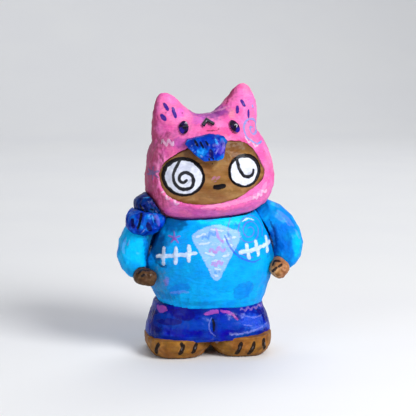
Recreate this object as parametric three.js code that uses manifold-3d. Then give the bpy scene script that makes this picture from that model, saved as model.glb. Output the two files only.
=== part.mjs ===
// A standing vinyl figure with its hands on its hips: hooded head, sweater, shorts, feet and hair.
// Thin-walled mouldings plug together; the head turns on the neck and each arm on its shoulder.
// Millimetres, +Z up. The figure looks along -Y, and +X is on the right as one looks at its front.
import * as THREE from 'three';
import { mergeVertices } from 'three/addons/utils/BufferGeometryUtils.js';
import Module from 'manifold-3d';

const wasm = await Module();
wasm.setup();

// ---- Driving dimensions ----
const GAP = 0.35; // between neighbouring mouldings
const WALL = 2.4; // thickness of a moulded shell
const FIGURE_AXIS = [-0.6, 1.1, 0]; // the figure's own upright axis, seen from the frame's origin

const HEAD = {
  centre: [0, 0, 80.4], lean: -6, halfWidth: 28.4, halfDepth: 23.2, top: 23.3, bottom: 22.2,
  turnedAspect: 0.88, // depth over width of the room it turns in
};
const HEAD_TAPER = 0.15; // how fast the hood narrows above its widest level
const HEAD_CLEARANCE = 0.5; // around the turning head
// Ear outline from foot to tip: inner side, outer side, height.
const EAR = [
  [-6, 24.4, 9], [-5, 23.6, 15], [-2, 23.1, 20], [2.5, 22.9, 22.8], [7.2, 22.4, 26.3], [10.8, 21.3, 30],
  [13, 20.2, 32.6], [15.2, 18.6, 34.1], [16.9, 16.9, 34.5],
];
// Depth, how far back its foot and tip sit, and how far both ears stand to +X.
const EAR_PLACE = { halfDepth: 9.5, foot: 1.5, tip: -4, shift: 0.8 };
const FACE = {
  x: -0.3, z: -0.4, halfWidth: 22.6, halfHeight: 12.6, tilt: 4, squareness: 2.3, recess: 1.0, flange: 2.4,
  flangeFrom: 0.25, flangeTo: 2.3, // below the inside of the hood's wall and its gap
};
const EYES = [
  { name: 'left_eye_disc', x: -13.5, z: -0.4, radius: 8.2 },
  { name: 'right_eye_disc', x: 12.5, z: -0.9, radius: 7.2 },
];
const HOOD_EYES = [
  { name: 'hood_left_eye', x: -10.3, z: 19.5, tilt: -28 },
  { name: 'hood_right_eye', x: 11.1, z: 17.6, tilt: 28 },
];
const HOOD_EYE = { halfWidth: 1.9, halfHeight: 2.7 };
const HOOD_NOSE = { z: 21.2, halfWidth: 2.9, drop: 2.3, thickness: 1.5 };

const SHORTS = { x: -0.2, top: 21.5, hem: 8.2, hemTilt: 1.4, halfWidth: 27.5 };
const BODY_ASPECT = 0.8; // depth over width of the sweater
const SHORTS_ASPECT = 0.78;
const SQUARENESS = { hood: 2.25, headRoom: 2.4, sweater: 2.3, shorts: 2.4 }; // in plan; 2 is an oval
const FOOT = { left: -14.5, right: 13.1, halfWidth: 13.6, halfLength: 19.8, y: -1.8, height: 10 };

const NECK = { hole: 7.0, shaft: 6.6, flange: 9.6, flangeThickness: 1.8 };
const PLUG_SLACK = 0.5; // between the neck plug's flanges and the walls that they hold
const WAIST = { hole: 8.0, shaft: 7.6, flange: 11, flangeThickness: 1.8 };
const SHOULDER = { x: 24.2, z: 52.6, slope: 21, hole: 4.3, shaft: 3.9, flange: 5.8, flangeThickness: 1.5 };
const ARM_DROP = { left: 2.4, right: 0 }; // how much lower each arm hangs than the right one
const ARM_TUCK = { left: 1.2, right: 0 }; // how much closer to the body its elbow is
const ARM_SWING = { left: 10, right: 45 }; // degrees forward
const HAND = { x: 29, y: -11.8, z: 37.5, squareness: 3 };
const HAND_SHAPE = {
  left: { radii: [4.7, 5.2, 3.3], tilt: 12 },
  right: { radii: [3.9, 5.2, 3.9], tilt: 42 },
};

const COLOURS = {
  hood: 0xf07dbe, face: 0x95745a, sweater: 0x009def, shorts: 0x00208c, feet: 0x8a6244,
  hair: 0x0c3c9a, white: 0xdce6f4, black: 0x15121c, inner: 0xe8e0d4,
};

// ---- Solids ----
const rad = THREE.MathUtils.degToRad;
const power = (value, exponent) => Math.sign(value) * Math.abs(value) ** exponent;

function signedVolume(positions, index) {
  const [a, b, c] = [new THREE.Vector3(), new THREE.Vector3(), new THREE.Vector3()];
  let volume = 0;
  for (let i = 0; i < index.length; i += 3) {
    a.fromArray(positions, 3 * index[i]);
    b.fromArray(positions, 3 * index[i + 1]);
    c.fromArray(positions, 3 * index[i + 2]);
    volume += a.dot(b.cross(c)) / 6;
  }
  return volume;
}

// A closed three.js geometry as a solid, its faces turned outwards.
function solidOf(geometry) {
  const bare = new THREE.BufferGeometry();
  bare.setAttribute('position', geometry.attributes.position);
  bare.setIndex(geometry.index);
  const welded = mergeVertices(bare, 1e-4);
  const positions = Float32Array.from(welded.attributes.position.array);
  const index = Uint32Array.from(welded.index.array);
  const outwards = signedVolume(positions, index) > 0;
  const triangles = [];
  for (let i = 0; i < index.length; i += 3) {
    const [a, b, c] = [index[i], index[i + 1], index[i + 2]];
    if (a !== b && b !== c && c !== a) triangles.push(...(outwards ? [a, b, c] : [a, c, b]));
  }
  return new wasm.Manifold(new wasm.Mesh({
    numProp: 3, vertProperties: positions, triVerts: Uint32Array.from(triangles),
  }));
}

function placed(solid, matrix) {
  return solid.transform(matrix.elements);
}

function meshOf(name, solid, colour, roughness = 0.45) {
  const { vertProperties, triVerts } = solid.getMesh();
  const geometry = new THREE.BufferGeometry();
  geometry.setAttribute('position', new THREE.BufferAttribute(Float32Array.from(vertProperties), 3));
  geometry.setIndex(new THREE.BufferAttribute(Uint32Array.from(triVerts), 1));
  const material = new THREE.MeshStandardMaterial({ color: colour, roughness, metalness: 0 });
  const mesh = new THREE.Mesh(geometry, material);
  mesh.name = name;
  return mesh;
}

// A sphere whose points go where place(around, down) says: around runs once round, down from 0 to 1.
function shaped(segments, rings, place) {
  const sphere = new THREE.SphereGeometry(1, segments, rings);
  const position = sphere.attributes.position;
  for (let i = 0; i < position.count; i += 1) {
    const down = Math.acos(THREE.MathUtils.clamp(position.getY(i), -1, 1)) / Math.PI;
    const around = Math.atan2(position.getZ(i), position.getX(i));
    position.setXYZ(i, ...place(around, down).toArray());
  }
  return solidOf(sphere);
}

function blob(centre, radii, squareness = 2.2, segments = 16, rings = 12) {
  return shaped(segments, rings, (around, down) => {
    const [c, s] = [Math.sin(Math.PI * down), Math.cos(Math.PI * down)];
    const e = 2 / squareness;
    return new THREE.Vector3(
      centre[0] + radii[0] * power(c, e) * power(Math.cos(around), e),
      centre[1] + radii[1] * power(c, e) * power(Math.sin(around), e),
      centre[2] + radii[2] * power(s, e),
    );
  });
}

// Moves a profile of [radius, height] points inwards, square to itself. Where points stand closer
// together than the distance, their moved places can run backwards; such a point is left out, so that
// a wall never crosses itself.
function inset(profile, distance) {
  const moved = profile.map(([r, z], i) => {
    const [r0, z0] = profile[Math.max(i - 1, 0)];
    const [r1, z1] = profile[Math.min(i + 1, profile.length - 1)];
    const length = Math.hypot(r1 - r0, z1 - z0);
    const inwards = [-(z1 - z0) / length, (r1 - r0) / length];
    const onAxis = i === 0 || i === profile.length - 1;
    return [onAxis ? 0 : Math.max(r + distance * inwards[0], 0.01), z + distance * inwards[1]];
  });
  const runsOn = (i) => {
    const [r, z] = [profile[i + 1][0] - profile[i][0], profile[i + 1][1] - profile[i][1]];
    return r * (moved[i + 1][0] - moved[i][0]) + z * (moved[i + 1][1] - moved[i][1]) > 0;
  };
  return moved.filter((point, i) => i === 0 || i === profile.length - 1 || runsOn(i));
}

// A profile from bottom to top, turned about Z, then squared a little and flattened front to back.
function turned(profile, segments, aspect = 1, squareness = 2) {
  const lathe = new THREE.LatheGeometry(profile.map(([r, z]) => new THREE.Vector2(r, z)), segments);
  lathe.rotateX(Math.PI / 2);
  const position = lathe.attributes.position;
  const e = 2 / squareness;
  for (let i = 0; i < position.count; i += 1) {
    const [x, y] = [position.getX(i), position.getY(i)];
    const r = Math.hypot(x, y);
    if (r > 1e-9) {
      position.setX(i, r * power(x / r, e));
      position.setY(i, r * aspect * power(y / r, e));
    }
  }
  return solidOf(lathe);
}

// A smooth profile through a few points, from the axis at the bottom to the axis at the top.
function smoothProfile(points, steps) {
  const curve = new THREE.SplineCurve(points.map(([r, z]) => new THREE.Vector2(r, z)));
  return curve.getPoints(steps).map((p, i) => [i === 0 || i === steps ? 0 : Math.max(p.x, 0.01), p.y]);
}

// A round bar along Z from one height to another.
function bar(radius, from, to, segments = 20) {
  return turned([[0, from], [radius, from], [radius, to], [0, to]], segments);
}

// An outline in X and Z, drawn through from one Y to another.
function prism(outline, fromY, toY) {
  const shape = new THREE.Shape(outline.map(([x, z]) => new THREE.Vector2(x, z)));
  const geometry = new THREE.ExtrudeGeometry(shape, { depth: toY - fromY, bevelEnabled: false });
  geometry.rotateX(Math.PI / 2);
  geometry.translate(0, toY, 0);
  return solidOf(geometry);
}

function oval(x, z, halfWidth, halfHeight, { tilt = 0, squareness = 2, points = 32 } = {}) {
  return Array.from({ length: points }, (_, i) => {
    const angle = (2 * Math.PI * i) / points;
    const a = halfWidth * power(Math.cos(angle), 2 / squareness);
    const b = halfHeight * power(Math.sin(angle), 2 / squareness);
    const [c, s] = [Math.cos(rad(tilt)), Math.sin(rad(tilt))];
    return [x + a * c - b * s, z + a * s + b * c];
  });
}

// A fat limb along a curve: size(t) gives its half-widths across the curve in X-Z and along Y.
function limb(points, size, grow = 0, segments = 18, rings = 12) {
  const curve = new THREE.CatmullRomCurve3(points.map((p) => new THREE.Vector3(...p)));
  return shaped(segments, rings, (around, down) => {
    const t = (1 - Math.cos(Math.PI * down)) / 2;
    const fill = (1 - Math.abs(2 * t - 1) ** 3) ** (1 / 3);
    const tangent = curve.getTangent(t);
    const across = new THREE.Vector3(0, 1, 0).cross(tangent).normalize();
    const depthwise = tangent.clone().cross(across).normalize();
    const [a, b] = size(t).map((half) => (half + grow) * fill);
    return curve.getPoint(t)
      .addScaledVector(across, a * power(Math.cos(around), 0.9))
      .addScaledVector(depthwise, b * power(Math.sin(around), 0.9))
      .addScaledVector(tangent, grow * (2 * t - 1));
  });
}

// Everything beyond a plane through a point, square to a direction in X-Z.
function beyond(x, z, degrees, away = 0) {
  const size = 200;
  const box = new THREE.BoxGeometry(size, size, size);
  box.translate(size / 2 + away, 0, 0);
  box.rotateY(-rad(degrees));
  box.translate(x, 0, z);
  return solidOf(box);
}

function turnAbout(origin, axis, degrees) {
  const [x, y, z] = origin;
  return new THREE.Matrix4().makeTranslation(x, y, z)
    .multiply(new THREE.Matrix4().makeRotationAxis(axis, rad(degrees)))
    .multiply(new THREE.Matrix4().makeTranslation(-x, -y, -z));
}

// The room that a solid needs while it turns from one angle to another.
function swept(solid, origin, axis, from, to, steps) {
  let room = placed(solid, turnAbout(origin, axis, from));
  for (let i = 1; i <= steps; i += 1) {
    room = room.add(placed(solid, turnAbout(origin, axis, from + ((to - from) * i) / steps)));
  }
  return room;
}

// ---- Head, in its own frame ----
const headToFigure = new THREE.Matrix4().makeTranslation(...HEAD.centre)
  .multiply(new THREE.Matrix4().makeRotationY(rad(HEAD.lean)));

function headProfile(steps) {
  return Array.from({ length: steps + 1 }, (_, i) => {
    const latitude = -Math.PI / 2 + (Math.PI * i) / steps;
    const low = latitude < 0;
    const e = low ? 2 / 3.1 : 2 / 2.6;
    const z = (low ? HEAD.bottom : HEAD.top) * power(Math.sin(latitude), e);
    const halfWidth = HEAD.halfWidth - HEAD_TAPER * Math.max(z + 5, 0);
    const onAxis = i === 0 || i === steps;
    return [onAxis ? 0 : halfWidth * power(Math.cos(latitude), e), z];
  });
}

function headSolid(depth, segments = 36, steps = 20) {
  return turned(inset(headProfile(steps), depth), segments, HEAD.halfDepth / HEAD.halfWidth, SQUARENESS.hood);
}

// One ear: a soft cone whose outer side runs straight on from the side of the hood.
function earSolid(side) {
  const outline = new THREE.CatmullRomCurve3(EAR.map((point) => new THREE.Vector3(...point)));
  return shaped(18, 14, (around, down) => {
    const share = (1 + Math.cos(Math.PI * down)) / 2;
    const { x: inner, y: outer, z } = outline.getPoint(share);
    const half = Math.max(outer - inner, 0) / 2;
    const closing = Math.sqrt(Math.max(0, 1 - (1 - Math.min(share, 0.15) / 0.15) ** 2));
    const depth = Math.min(EAR_PLACE.halfDepth, 0.9 * half);
    const shift = EAR_PLACE.shift * THREE.MathUtils.smoothstep(z, 14, 30);
    return new THREE.Vector3(
      side * ((inner + outer) / 2 + half * closing * power(Math.cos(around), 0.9)) + shift,
      THREE.MathUtils.lerp(EAR_PLACE.foot, EAR_PLACE.tip, share)
        + depth * closing * power(Math.sin(around), 0.9),
      z,
    );
  });
}

const FRONT = [-60, -6]; // how far forward a cut through the face runs
const faceOutline = (grow) => oval(
  FACE.x, FACE.z, FACE.halfWidth + grow, FACE.halfHeight + grow,
  { tilt: FACE.tilt, squareness: FACE.squareness },
);
const faceCut = (grow) => prism(faceOutline(grow), ...FRONT);

const hoodOutside = headSolid(0).add(earSolid(-1)).add(earSolid(1));

function hoodShell() {
  const inside = headSolid(WALL, 24, 14);
  const neckHole = bar(NECK.hole, -40, 0);
  return hoodOutside.subtract(inside).subtract(faceCut(0)).subtract(neckHole);
}

function facePlate() {
  const raised = headSolid(FACE.recess).intersect(faceCut(-GAP));
  const flange = headSolid(WALL + GAP + FACE.flangeFrom, 24, 14).intersect(faceCut(FACE.flange));
  const back = headSolid(WALL + GAP + FACE.flangeTo, 24, 14);
  return raised.add(flange).subtract(back);
}

// A thin piece that lies on a surface of the head: its outline, between two depths below the hood's surface.
function headPatch(outline, topDepth, underDepth) {
  return prism(outline, ...FRONT).intersect(headSolid(topDepth)).subtract(headSolid(underDepth));
}

// A small piece that stands proud of the hood's front, which it follows.
function hoodMark(outline, proud) {
  const forward = (distance) => placed(hoodOutside, new THREE.Matrix4().makeTranslation(0, -distance, 0));
  return prism(outline, ...FRONT).intersect(forward(GAP + proud)).subtract(forward(GAP));
}

function forelock() {
  const outline = [
    [-11.6, 13.2], [-8.6, 9.3], [-4.7, 5.6], [1.0, 5.2], [3.3, 6.1],
    [6.2, 12.6], [5.0, 15.0], [0.1, 16.4], [-10.1, 15.2],
  ];
  return headPatch(outline, -4.2, -GAP);
}

function noseOutline() {
  const { z, halfWidth, drop, thickness } = HOOD_NOSE;
  return [
    [0, z + drop / 2], [halfWidth, z - drop / 2], [halfWidth - 0.9, z - drop / 2 - 1.1],
    [0, z + drop / 2 - thickness], [0.9 - halfWidth, z - drop / 2 - 1.1], [-halfWidth, z - drop / 2],
  ];
}

// ---- Body ----
const sweaterProfile = smoothProfile([
  [24.0, 22.4], [24.9, 25.5], [27.2, 32], [28.7, 40], [28.3, 48], [25.6, 55.5],
  [20.6, 61.4], [14.5, 65], [7, 66.9],
  [0, 67.2],
], 16);
sweaterProfile[0] = [23.5, 21.9];
sweaterProfile.unshift([0, 21.9]);

function shortsProfile() {
  const { halfWidth, top } = SHORTS;
  return [
    [0, 0], [halfWidth, 0], [halfWidth, 8], [halfWidth - 0.6, 12.5], [halfWidth - 1.8, 16.5],
    [halfWidth - 3.9, top - 0.6], [halfWidth - 5.0, top], [0, top],
  ];
}

const shoulderAxis = (side) => (
  new THREE.Vector3(side * Math.cos(rad(SHOULDER.slope)), 0, Math.sin(rad(SHOULDER.slope)))
);
const shoulderHeight = (side) => SHOULDER.z - (side < 0 ? ARM_DROP.left : ARM_DROP.right);
const shoulderPoint = (side) => [side * SHOULDER.x, 0, shoulderHeight(side)];

// Everything outside a shoulder's seat, from a distance beyond its plane.
function outsideSeat(side, away) {
  const degrees = side > 0 ? SHOULDER.slope : 180 - SHOULDER.slope;
  return beyond(side * SHOULDER.x, shoulderHeight(side), degrees, away);
}

// Turns a bar along Z into one along a shoulder's axis, its zero on the shoulder's seat.
function onShoulder(side, solid) {
  const turn = new THREE.Quaternion().setFromUnitVectors(new THREE.Vector3(0, 0, 1), shoulderAxis(side));
  const point = new THREE.Vector3(...shoulderPoint(side));
  return placed(solid, new THREE.Matrix4().compose(point, turn, new THREE.Vector3(1, 1, 1)));
}

// The head's room as it turns: its own shape, a little larger and rounder in plan.
function headRoomSolid(depth, segments, steps) {
  const profile = inset(headProfile(steps), depth);
  return placed(turned(profile, segments, HEAD.turnedAspect, SQUARENESS.headRoom), headToFigure);
}
const headRoom = headRoomSolid(-HEAD_CLEARANCE, 28, 14);
const neckHoleInBody = placed(bar(NECK.hole, -40, 0), headToFigure);

function torsoShell() {
  let outside = turned(sweaterProfile, 32, BODY_ASPECT, SQUARENESS.sweater).subtract(headRoom);
  let inside = turned(inset(sweaterProfile, WALL), 22, BODY_ASPECT, SQUARENESS.sweater);
  inside = inside.subtract(headRoomSolid(-HEAD_CLEARANCE - WALL, 22, 10));
  for (const side of [-1, 1]) {
    outside = outside.subtract(outsideSeat(side, 0));
    inside = inside.subtract(outsideSeat(side, -WALL));
  }
  let shell = outside.subtract(inside).subtract(neckHoleInBody).subtract(bar(WAIST.hole, 15, 30));
  for (const side of [-1, 1]) shell = shell.subtract(onShoulder(side, bar(SHOULDER.hole, -8, 4)));
  return shell;
}

const shortsAt = new THREE.Matrix4().makeTranslation(SHORTS.x, 0, 0);
const belowHem = (away) => beyond(SHORTS.x, SHORTS.hem, -90 + SHORTS.hemTilt, away);
const footX = { left: FOOT.left, right: FOOT.right };
const PEG = { radius: 5, height: 6.5 };

function pegRoom(x, radius) {
  return placed(bar(radius, 2, SHORTS.hem + PEG.height), new THREE.Matrix4().makeTranslation(x, 0, 0));
}

function shortsShell() {
  const profile = shortsProfile();
  const outside = placed(turned(profile, 36, SHORTS_ASPECT, SQUARENESS.shorts), shortsAt)
    .subtract(belowHem(0));
  const inside = placed(turned(inset(profile, WALL), 26, SHORTS_ASPECT, SQUARENESS.shorts), shortsAt)
    .subtract(belowHem(-WALL));
  let shell = outside.subtract(inside).subtract(bar(WAIST.hole, 15, 30));
  for (const x of Object.values(footX)) shell = shell.subtract(pegRoom(x, PEG.radius + GAP));
  return shell;
}

function foot(x) {
  const body = shaped(26, 12, (around, down) => {
    const share = 1 - down;
    const z = FOOT.height * THREE.MathUtils.smoothstep(share, 0.12, 0.6);
    const widening = down < 0.5 ? Math.min(1, down / 0.12) : 1;
    const rounding = 0.8 + 0.2 * Math.sin((Math.PI / 2) * Math.min(1, z / 5));
    const closing = share < 0.12 ? share / 0.12 : 1;
    const half = rounding * widening * closing;
    return new THREE.Vector3(
      x + FOOT.halfWidth * half * power(Math.cos(around), 0.75),
      FOOT.y + FOOT.halfLength * (half + 0.1 * (1 - rounding)) * power(Math.sin(around), 0.75),
      z,
    );
  });
  return body.subtract(footCeiling()).add(pegRoom(x, PEG.radius));
}

// Everything above the shorts' hem, less the gap under it.
function footCeiling() {
  return beyond(SHORTS.x, SHORTS.hem, 90 + SHORTS.hemTilt, -GAP);
}

function spool({ shaft, flange, flangeThickness }, lower, upper) {
  return turned([
    [0, lower - flangeThickness], [flange, lower - flangeThickness], [flange, lower], [shaft, lower],
    [shaft, upper], [flange, upper], [flange, upper + flangeThickness], [0, upper + flangeThickness],
  ], 20);
}

// ---- Arms ----
function armPoints(side) {
  const drop = side < 0 ? ARM_DROP.left : ARM_DROP.right;
  const tuck = side < 0 ? ARM_TUCK.left : ARM_TUCK.right;
  return [
    [17, 0, 61.2], [25.4, -0.5, 58.6], [31.7, -1.5, 52.8],
    [34.4, -3, 46.4], [33.4, -6, 41.4], [30.8, -9.5, 38],
  ].map(([x, y, z]) => [side * (x - tuck * THREE.MathUtils.smoothstep(x, 17, 30)), y, z - drop]);
}
const armSize = (t) => [7.9 - 2.6 * t ** 2.5, 9.6 - 3.0 * t ** 2];
const swing = (side) => (side < 0 ? ARM_SWING.left : ARM_SWING.right);
const swingAxis = (side) => shoulderAxis(side).multiplyScalar(-side);

// The body's room, as an arm that swings forward meets it.
function bodyRoom(side) {
  const body = turned(inset(sweaterProfile, -GAP), 32, BODY_ASPECT, SQUARENESS.sweater).add(
    placed(turned(inset(shortsProfile(), -GAP), 30, SHORTS_ASPECT, SQUARENESS.shorts), shortsAt),
  );
  return swept(body, shoulderPoint(side), swingAxis(side), -swing(side), 0, side < 0 ? 1 : 3);
}

function handSolid(side, grow) {
  const { radii, tilt } = side < 0 ? HAND_SHAPE.left : HAND_SHAPE.right;
  const drop = side < 0 ? ARM_DROP.left : ARM_DROP.right;
  const turn = new THREE.Matrix4().makeRotationY(rad(tilt)).setPosition(side * HAND.x, HAND.y, HAND.z - drop);
  return placed(blob([0, 0, 0], radii.map((r) => r + grow), HAND.squareness, 14, 12), turn);
}

function sleeve(side) {
  const headAtSwing = swept(
    placed(headSolid(-HEAD_CLEARANCE, 32, 16), headToFigure),
    shoulderPoint(side), swingAxis(side), -swing(side), 0, 4,
  );
  return limb(armPoints(side), armSize)
    .intersect(outsideSeat(side, GAP))
    .subtract(bodyRoom(side))
    .subtract(headAtSwing)
    .subtract(handSolid(side, GAP))
    .subtract(onShoulder(side, bar(SHOULDER.shaft + GAP, -2, 7)));
}

function hand(side) {
  return handSolid(side, 0).subtract(bodyRoom(side));
}

function shoulderPlug(side) {
  const { shaft, flange, flangeThickness } = SHOULDER;
  const inner = -WALL - GAP;
  return onShoulder(side, turned([
    [0, inner - flangeThickness], [flange, inner - flangeThickness], [flange, inner], [shaft, inner],
    [shaft, 6.5], [0, 6.5],
  ], 18));
}

// ---- Hair over one shoulder ----
function hairLobe(centre, radii, grow, phase) {
  return shaped(20, 14, (around, down) => {
    const ripple = 1 + 0.06 * Math.sin(3 * around + phase) * Math.sin(Math.PI * down);
    const [c, s] = [Math.sin(Math.PI * down), Math.cos(Math.PI * down)];
    return new THREE.Vector3(
      centre[0] + (radii[0] + grow) * ripple * power(c, 0.85) * power(Math.cos(around), 0.85),
      centre[1] + (radii[1] + grow) * ripple * power(c, 0.85) * power(Math.sin(around), 0.85),
      centre[2] + (radii[2] + grow) * power(s, 0.85),
    );
  });
}
const hairUpper = (grow) => hairLobe([-25.6, -3.5, 64.2], [7.4, 8.5, 6.2], grow, 0.6);
const hairLower = (grow) => hairLobe([-28, -5.5, 58.2], [9.2, 9.8, 6.5], grow, 2.2);

function hairRoom() {
  const arm = swept(
    limb(armPoints(-1), armSize, GAP), shoulderPoint(-1), swingAxis(-1), 0, swing(-1), 2,
  );
  return headRoom.add(arm).add(turned(inset(sweaterProfile, -GAP), 30, BODY_ASPECT, SQUARENESS.sweater));
}

// ---- Assembly ----
const figure = new THREE.Group();
figure.position.set(...FIGURE_AXIS);

const head = new THREE.Group();
headToFigure.decompose(head.position, head.quaternion, head.scale);
head.add(meshOf('hood_shell', hoodShell(), COLOURS.hood));
head.add(meshOf('face_plate', facePlate(), COLOURS.face, 0.5));
head.add(meshOf('forelock', forelock(), COLOURS.hair, 0.4));
for (const eye of EYES) {
  const outline = oval(eye.x, eye.z, eye.radius, eye.radius, { points: 24 });
  head.add(meshOf(eye.name, headPatch(outline, 0.1, FACE.recess - GAP), COLOURS.white, 0.3));
}
for (const eye of HOOD_EYES) {
  const outline = oval(eye.x, eye.z, HOOD_EYE.halfWidth, HOOD_EYE.halfHeight, { tilt: eye.tilt, points: 16 });
  head.add(meshOf(eye.name, hoodMark(outline, 1.0), COLOURS.black, 0.15));
}
head.add(meshOf('hood_nose', hoodMark(noseOutline(), 1.2), COLOURS.black, 0.15));
figure.add(head);

figure.add(meshOf('torso_shell', torsoShell(), COLOURS.sweater));
figure.add(meshOf('shorts_shell', shortsShell(), COLOURS.shorts));
figure.add(meshOf('left_foot', foot(FOOT.left), COLOURS.feet, 0.55));
figure.add(meshOf('right_foot', foot(FOOT.right), COLOURS.feet, 0.55));

const neckSeat = -HEAD.bottom;
const neckHold = WALL + GAP + PLUG_SLACK;
const neckPlug = spool(NECK, neckSeat - HEAD_CLEARANCE - neckHold, neckSeat + neckHold);
figure.add(meshOf('neck_plug', placed(neckPlug, headToFigure), COLOURS.inner));
const waistPlug = spool(WAIST, SHORTS.top - WALL - GAP, sweaterProfile[0][1] + WALL + GAP);
figure.add(meshOf('waist_plug', waistPlug, COLOURS.inner));

const room = hairRoom();
figure.add(meshOf('hair_lock_upper', hairUpper(0).subtract(room), COLOURS.hair, 0.4));
const lowerHair = hairLower(0).subtract(room).subtract(hairUpper(GAP));
figure.add(meshOf('hair_lock_lower', lowerHair, COLOURS.hair, 0.4));

for (const [word, side] of [['left', -1], ['right', 1]]) {
  figure.add(meshOf(`${word}_sleeve`, sleeve(side), COLOURS.sweater));
  figure.add(meshOf(`${word}_hand`, hand(side), COLOURS.feet, 0.55));
  figure.add(meshOf(`${word}_shoulder_plug`, shoulderPlug(side), COLOURS.inner));
}

export default figure;
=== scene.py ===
"""A hand-painted vinyl art toy, a standing figure in an eared hood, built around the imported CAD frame.

Lengths are millimetres in the frame's axes (front faces -Y, +Z up) until a mesh is written.
"""
import math

import bmesh
import bpy
import numpy as np
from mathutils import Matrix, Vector


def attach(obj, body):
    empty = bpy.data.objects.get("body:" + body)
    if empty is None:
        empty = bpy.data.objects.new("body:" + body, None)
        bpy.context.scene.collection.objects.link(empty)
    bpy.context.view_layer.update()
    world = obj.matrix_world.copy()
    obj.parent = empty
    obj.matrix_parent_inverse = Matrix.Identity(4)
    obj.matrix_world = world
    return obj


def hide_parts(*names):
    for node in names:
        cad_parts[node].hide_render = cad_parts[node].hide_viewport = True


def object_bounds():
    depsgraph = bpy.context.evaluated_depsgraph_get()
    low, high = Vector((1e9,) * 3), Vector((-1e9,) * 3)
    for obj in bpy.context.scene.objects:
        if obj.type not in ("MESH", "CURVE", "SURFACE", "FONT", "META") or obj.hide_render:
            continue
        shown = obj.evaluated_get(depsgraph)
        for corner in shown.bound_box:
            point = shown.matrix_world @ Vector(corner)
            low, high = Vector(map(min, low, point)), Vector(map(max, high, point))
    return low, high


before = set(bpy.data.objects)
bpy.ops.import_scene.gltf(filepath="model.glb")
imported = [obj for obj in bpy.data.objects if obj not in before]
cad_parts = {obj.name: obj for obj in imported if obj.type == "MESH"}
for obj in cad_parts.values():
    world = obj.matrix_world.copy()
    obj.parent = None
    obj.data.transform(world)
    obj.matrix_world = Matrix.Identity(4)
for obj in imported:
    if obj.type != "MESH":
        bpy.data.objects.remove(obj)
cad_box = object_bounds()
MM = 0.001
FRONT, BACK = -1, 1
INK_FLOOR = -2.0  # how far outside a mark its distance is still kept
VARNISH_ROUGHNESS, PAINT_SPECULAR = 0.2, 0.04
# Heights between which a skin goes from lying close to the CAD, by a joint that turns, to full lumps.
HOOD_CALM, COLLAR_CALM, SHOULDER_CALM = (59, 66), (57, 61), (53, 57)
SLEEVE_FILL = 0.5  # how far a sleeve's inner wall is moved towards the sweater
HAND_SWELL = 0.28


# ---------------------------------------------------------------- helpers
def srgb(*values):
    """Linear colour from 0-255 display values."""
    v = np.array(values, float) / 255
    return np.where(v <= 0.04045, v / 12.92, ((v + 0.055) / 1.055) ** 2.4)


def smooth(low, high, value):
    t = np.clip((value - low) / (high - low), 0, 1)
    return t * t * (3 - 2 * t)


def bump(distance, reach):
    """1 at distance 0, easing to 0 at reach."""
    return 1 - smooth(0, reach, np.abs(distance))


class Noise:
    """Seeded gradient noise, about -1 to 1."""

    def __init__(self, seed):
        rng = np.random.default_rng(seed)
        self.table = rng.permutation(256)
        slopes = rng.normal(size=(256, 3))
        self.slopes = slopes / np.linalg.norm(slopes, axis=1)[:, None]

    def __call__(self, points, size, octaves=1):
        total, weight = np.zeros(len(points)), 1.0
        for octave in range(octaves):
            total += weight * self.layer(points / (np.array(size, float) / 2**octave) + 17.3 * octave)
            weight *= 0.5
        return total

    def layer(self, p):
        cell = np.floor(p).astype(int)
        f = p - cell
        fade = f**3 * (f * (f * 6 - 15) + 10)
        total = np.zeros(len(p))
        for corner in np.ndindex(2, 2, 2):
            at = (cell + corner) & 255
            h = self.table[(self.table[(self.table[at[:, 0]] + at[:, 1]) & 255] + at[:, 2]) & 255]
            weight = np.prod(np.where(corner, fade, 1 - fade), axis=1)
            total += weight * np.einsum("ij,ij->i", self.slopes[h], f - corner)
        return 1.7 * total


def curve(points, step=0.35):
    """A smooth path through the points (2 or 3 numbers each), with a point about every step."""
    p = np.array(points, float)
    if len(p) < 3:
        count = max(2, int(np.linalg.norm(p[-1] - p[0]) / step) + 1)
        return p[0] + np.linspace(0, 1, count)[:, None] * (p[-1] - p[0])
    padded = np.vstack([2 * p[0] - p[1], p, 2 * p[-1] - p[-2]])
    found = []
    for a, b, c, d in zip(padded, padded[1:], padded[2:], padded[3:]):
        count = max(2, int(np.linalg.norm(c - b) / step) + 1)
        t = np.linspace(0, 1, count, endpoint=False)[:, None]
        found.append(0.5 * (2 * b + (c - a) * t + (2 * a - 5 * b + 4 * c - d) * t**2
            + (3 * b - a - 3 * c + d) * t**3))
    return np.vstack([*found, p[-1:]])


def wavy(start, end, humps, height):
    """A hand-drawn wave from start to end in the (x, z) plane."""
    a, b = np.array(start, float), np.array(end, float)
    along = b - a
    across = np.array([-along[1], along[0]]) / np.linalg.norm(along)
    t = np.linspace(0, 1, 4 * humps + 1)
    return a + t[:, None] * along + (height * np.sin(t * humps * 2 * math.pi))[:, None] * across


def spiral(centre, first, last, start_deg, turns, squash=1.0):
    """A spiral in the (x, z) plane from radius first to radius last."""
    t = np.linspace(0, 1, int(abs(turns) * 14) + 2)
    angle = math.radians(start_deg) + t * turns * 2 * math.pi
    radius = first + (last - first) * t
    return np.column_stack([centre[0] + radius * np.cos(angle),
        centre[1] + squash * radius * np.sin(angle)])


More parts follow.
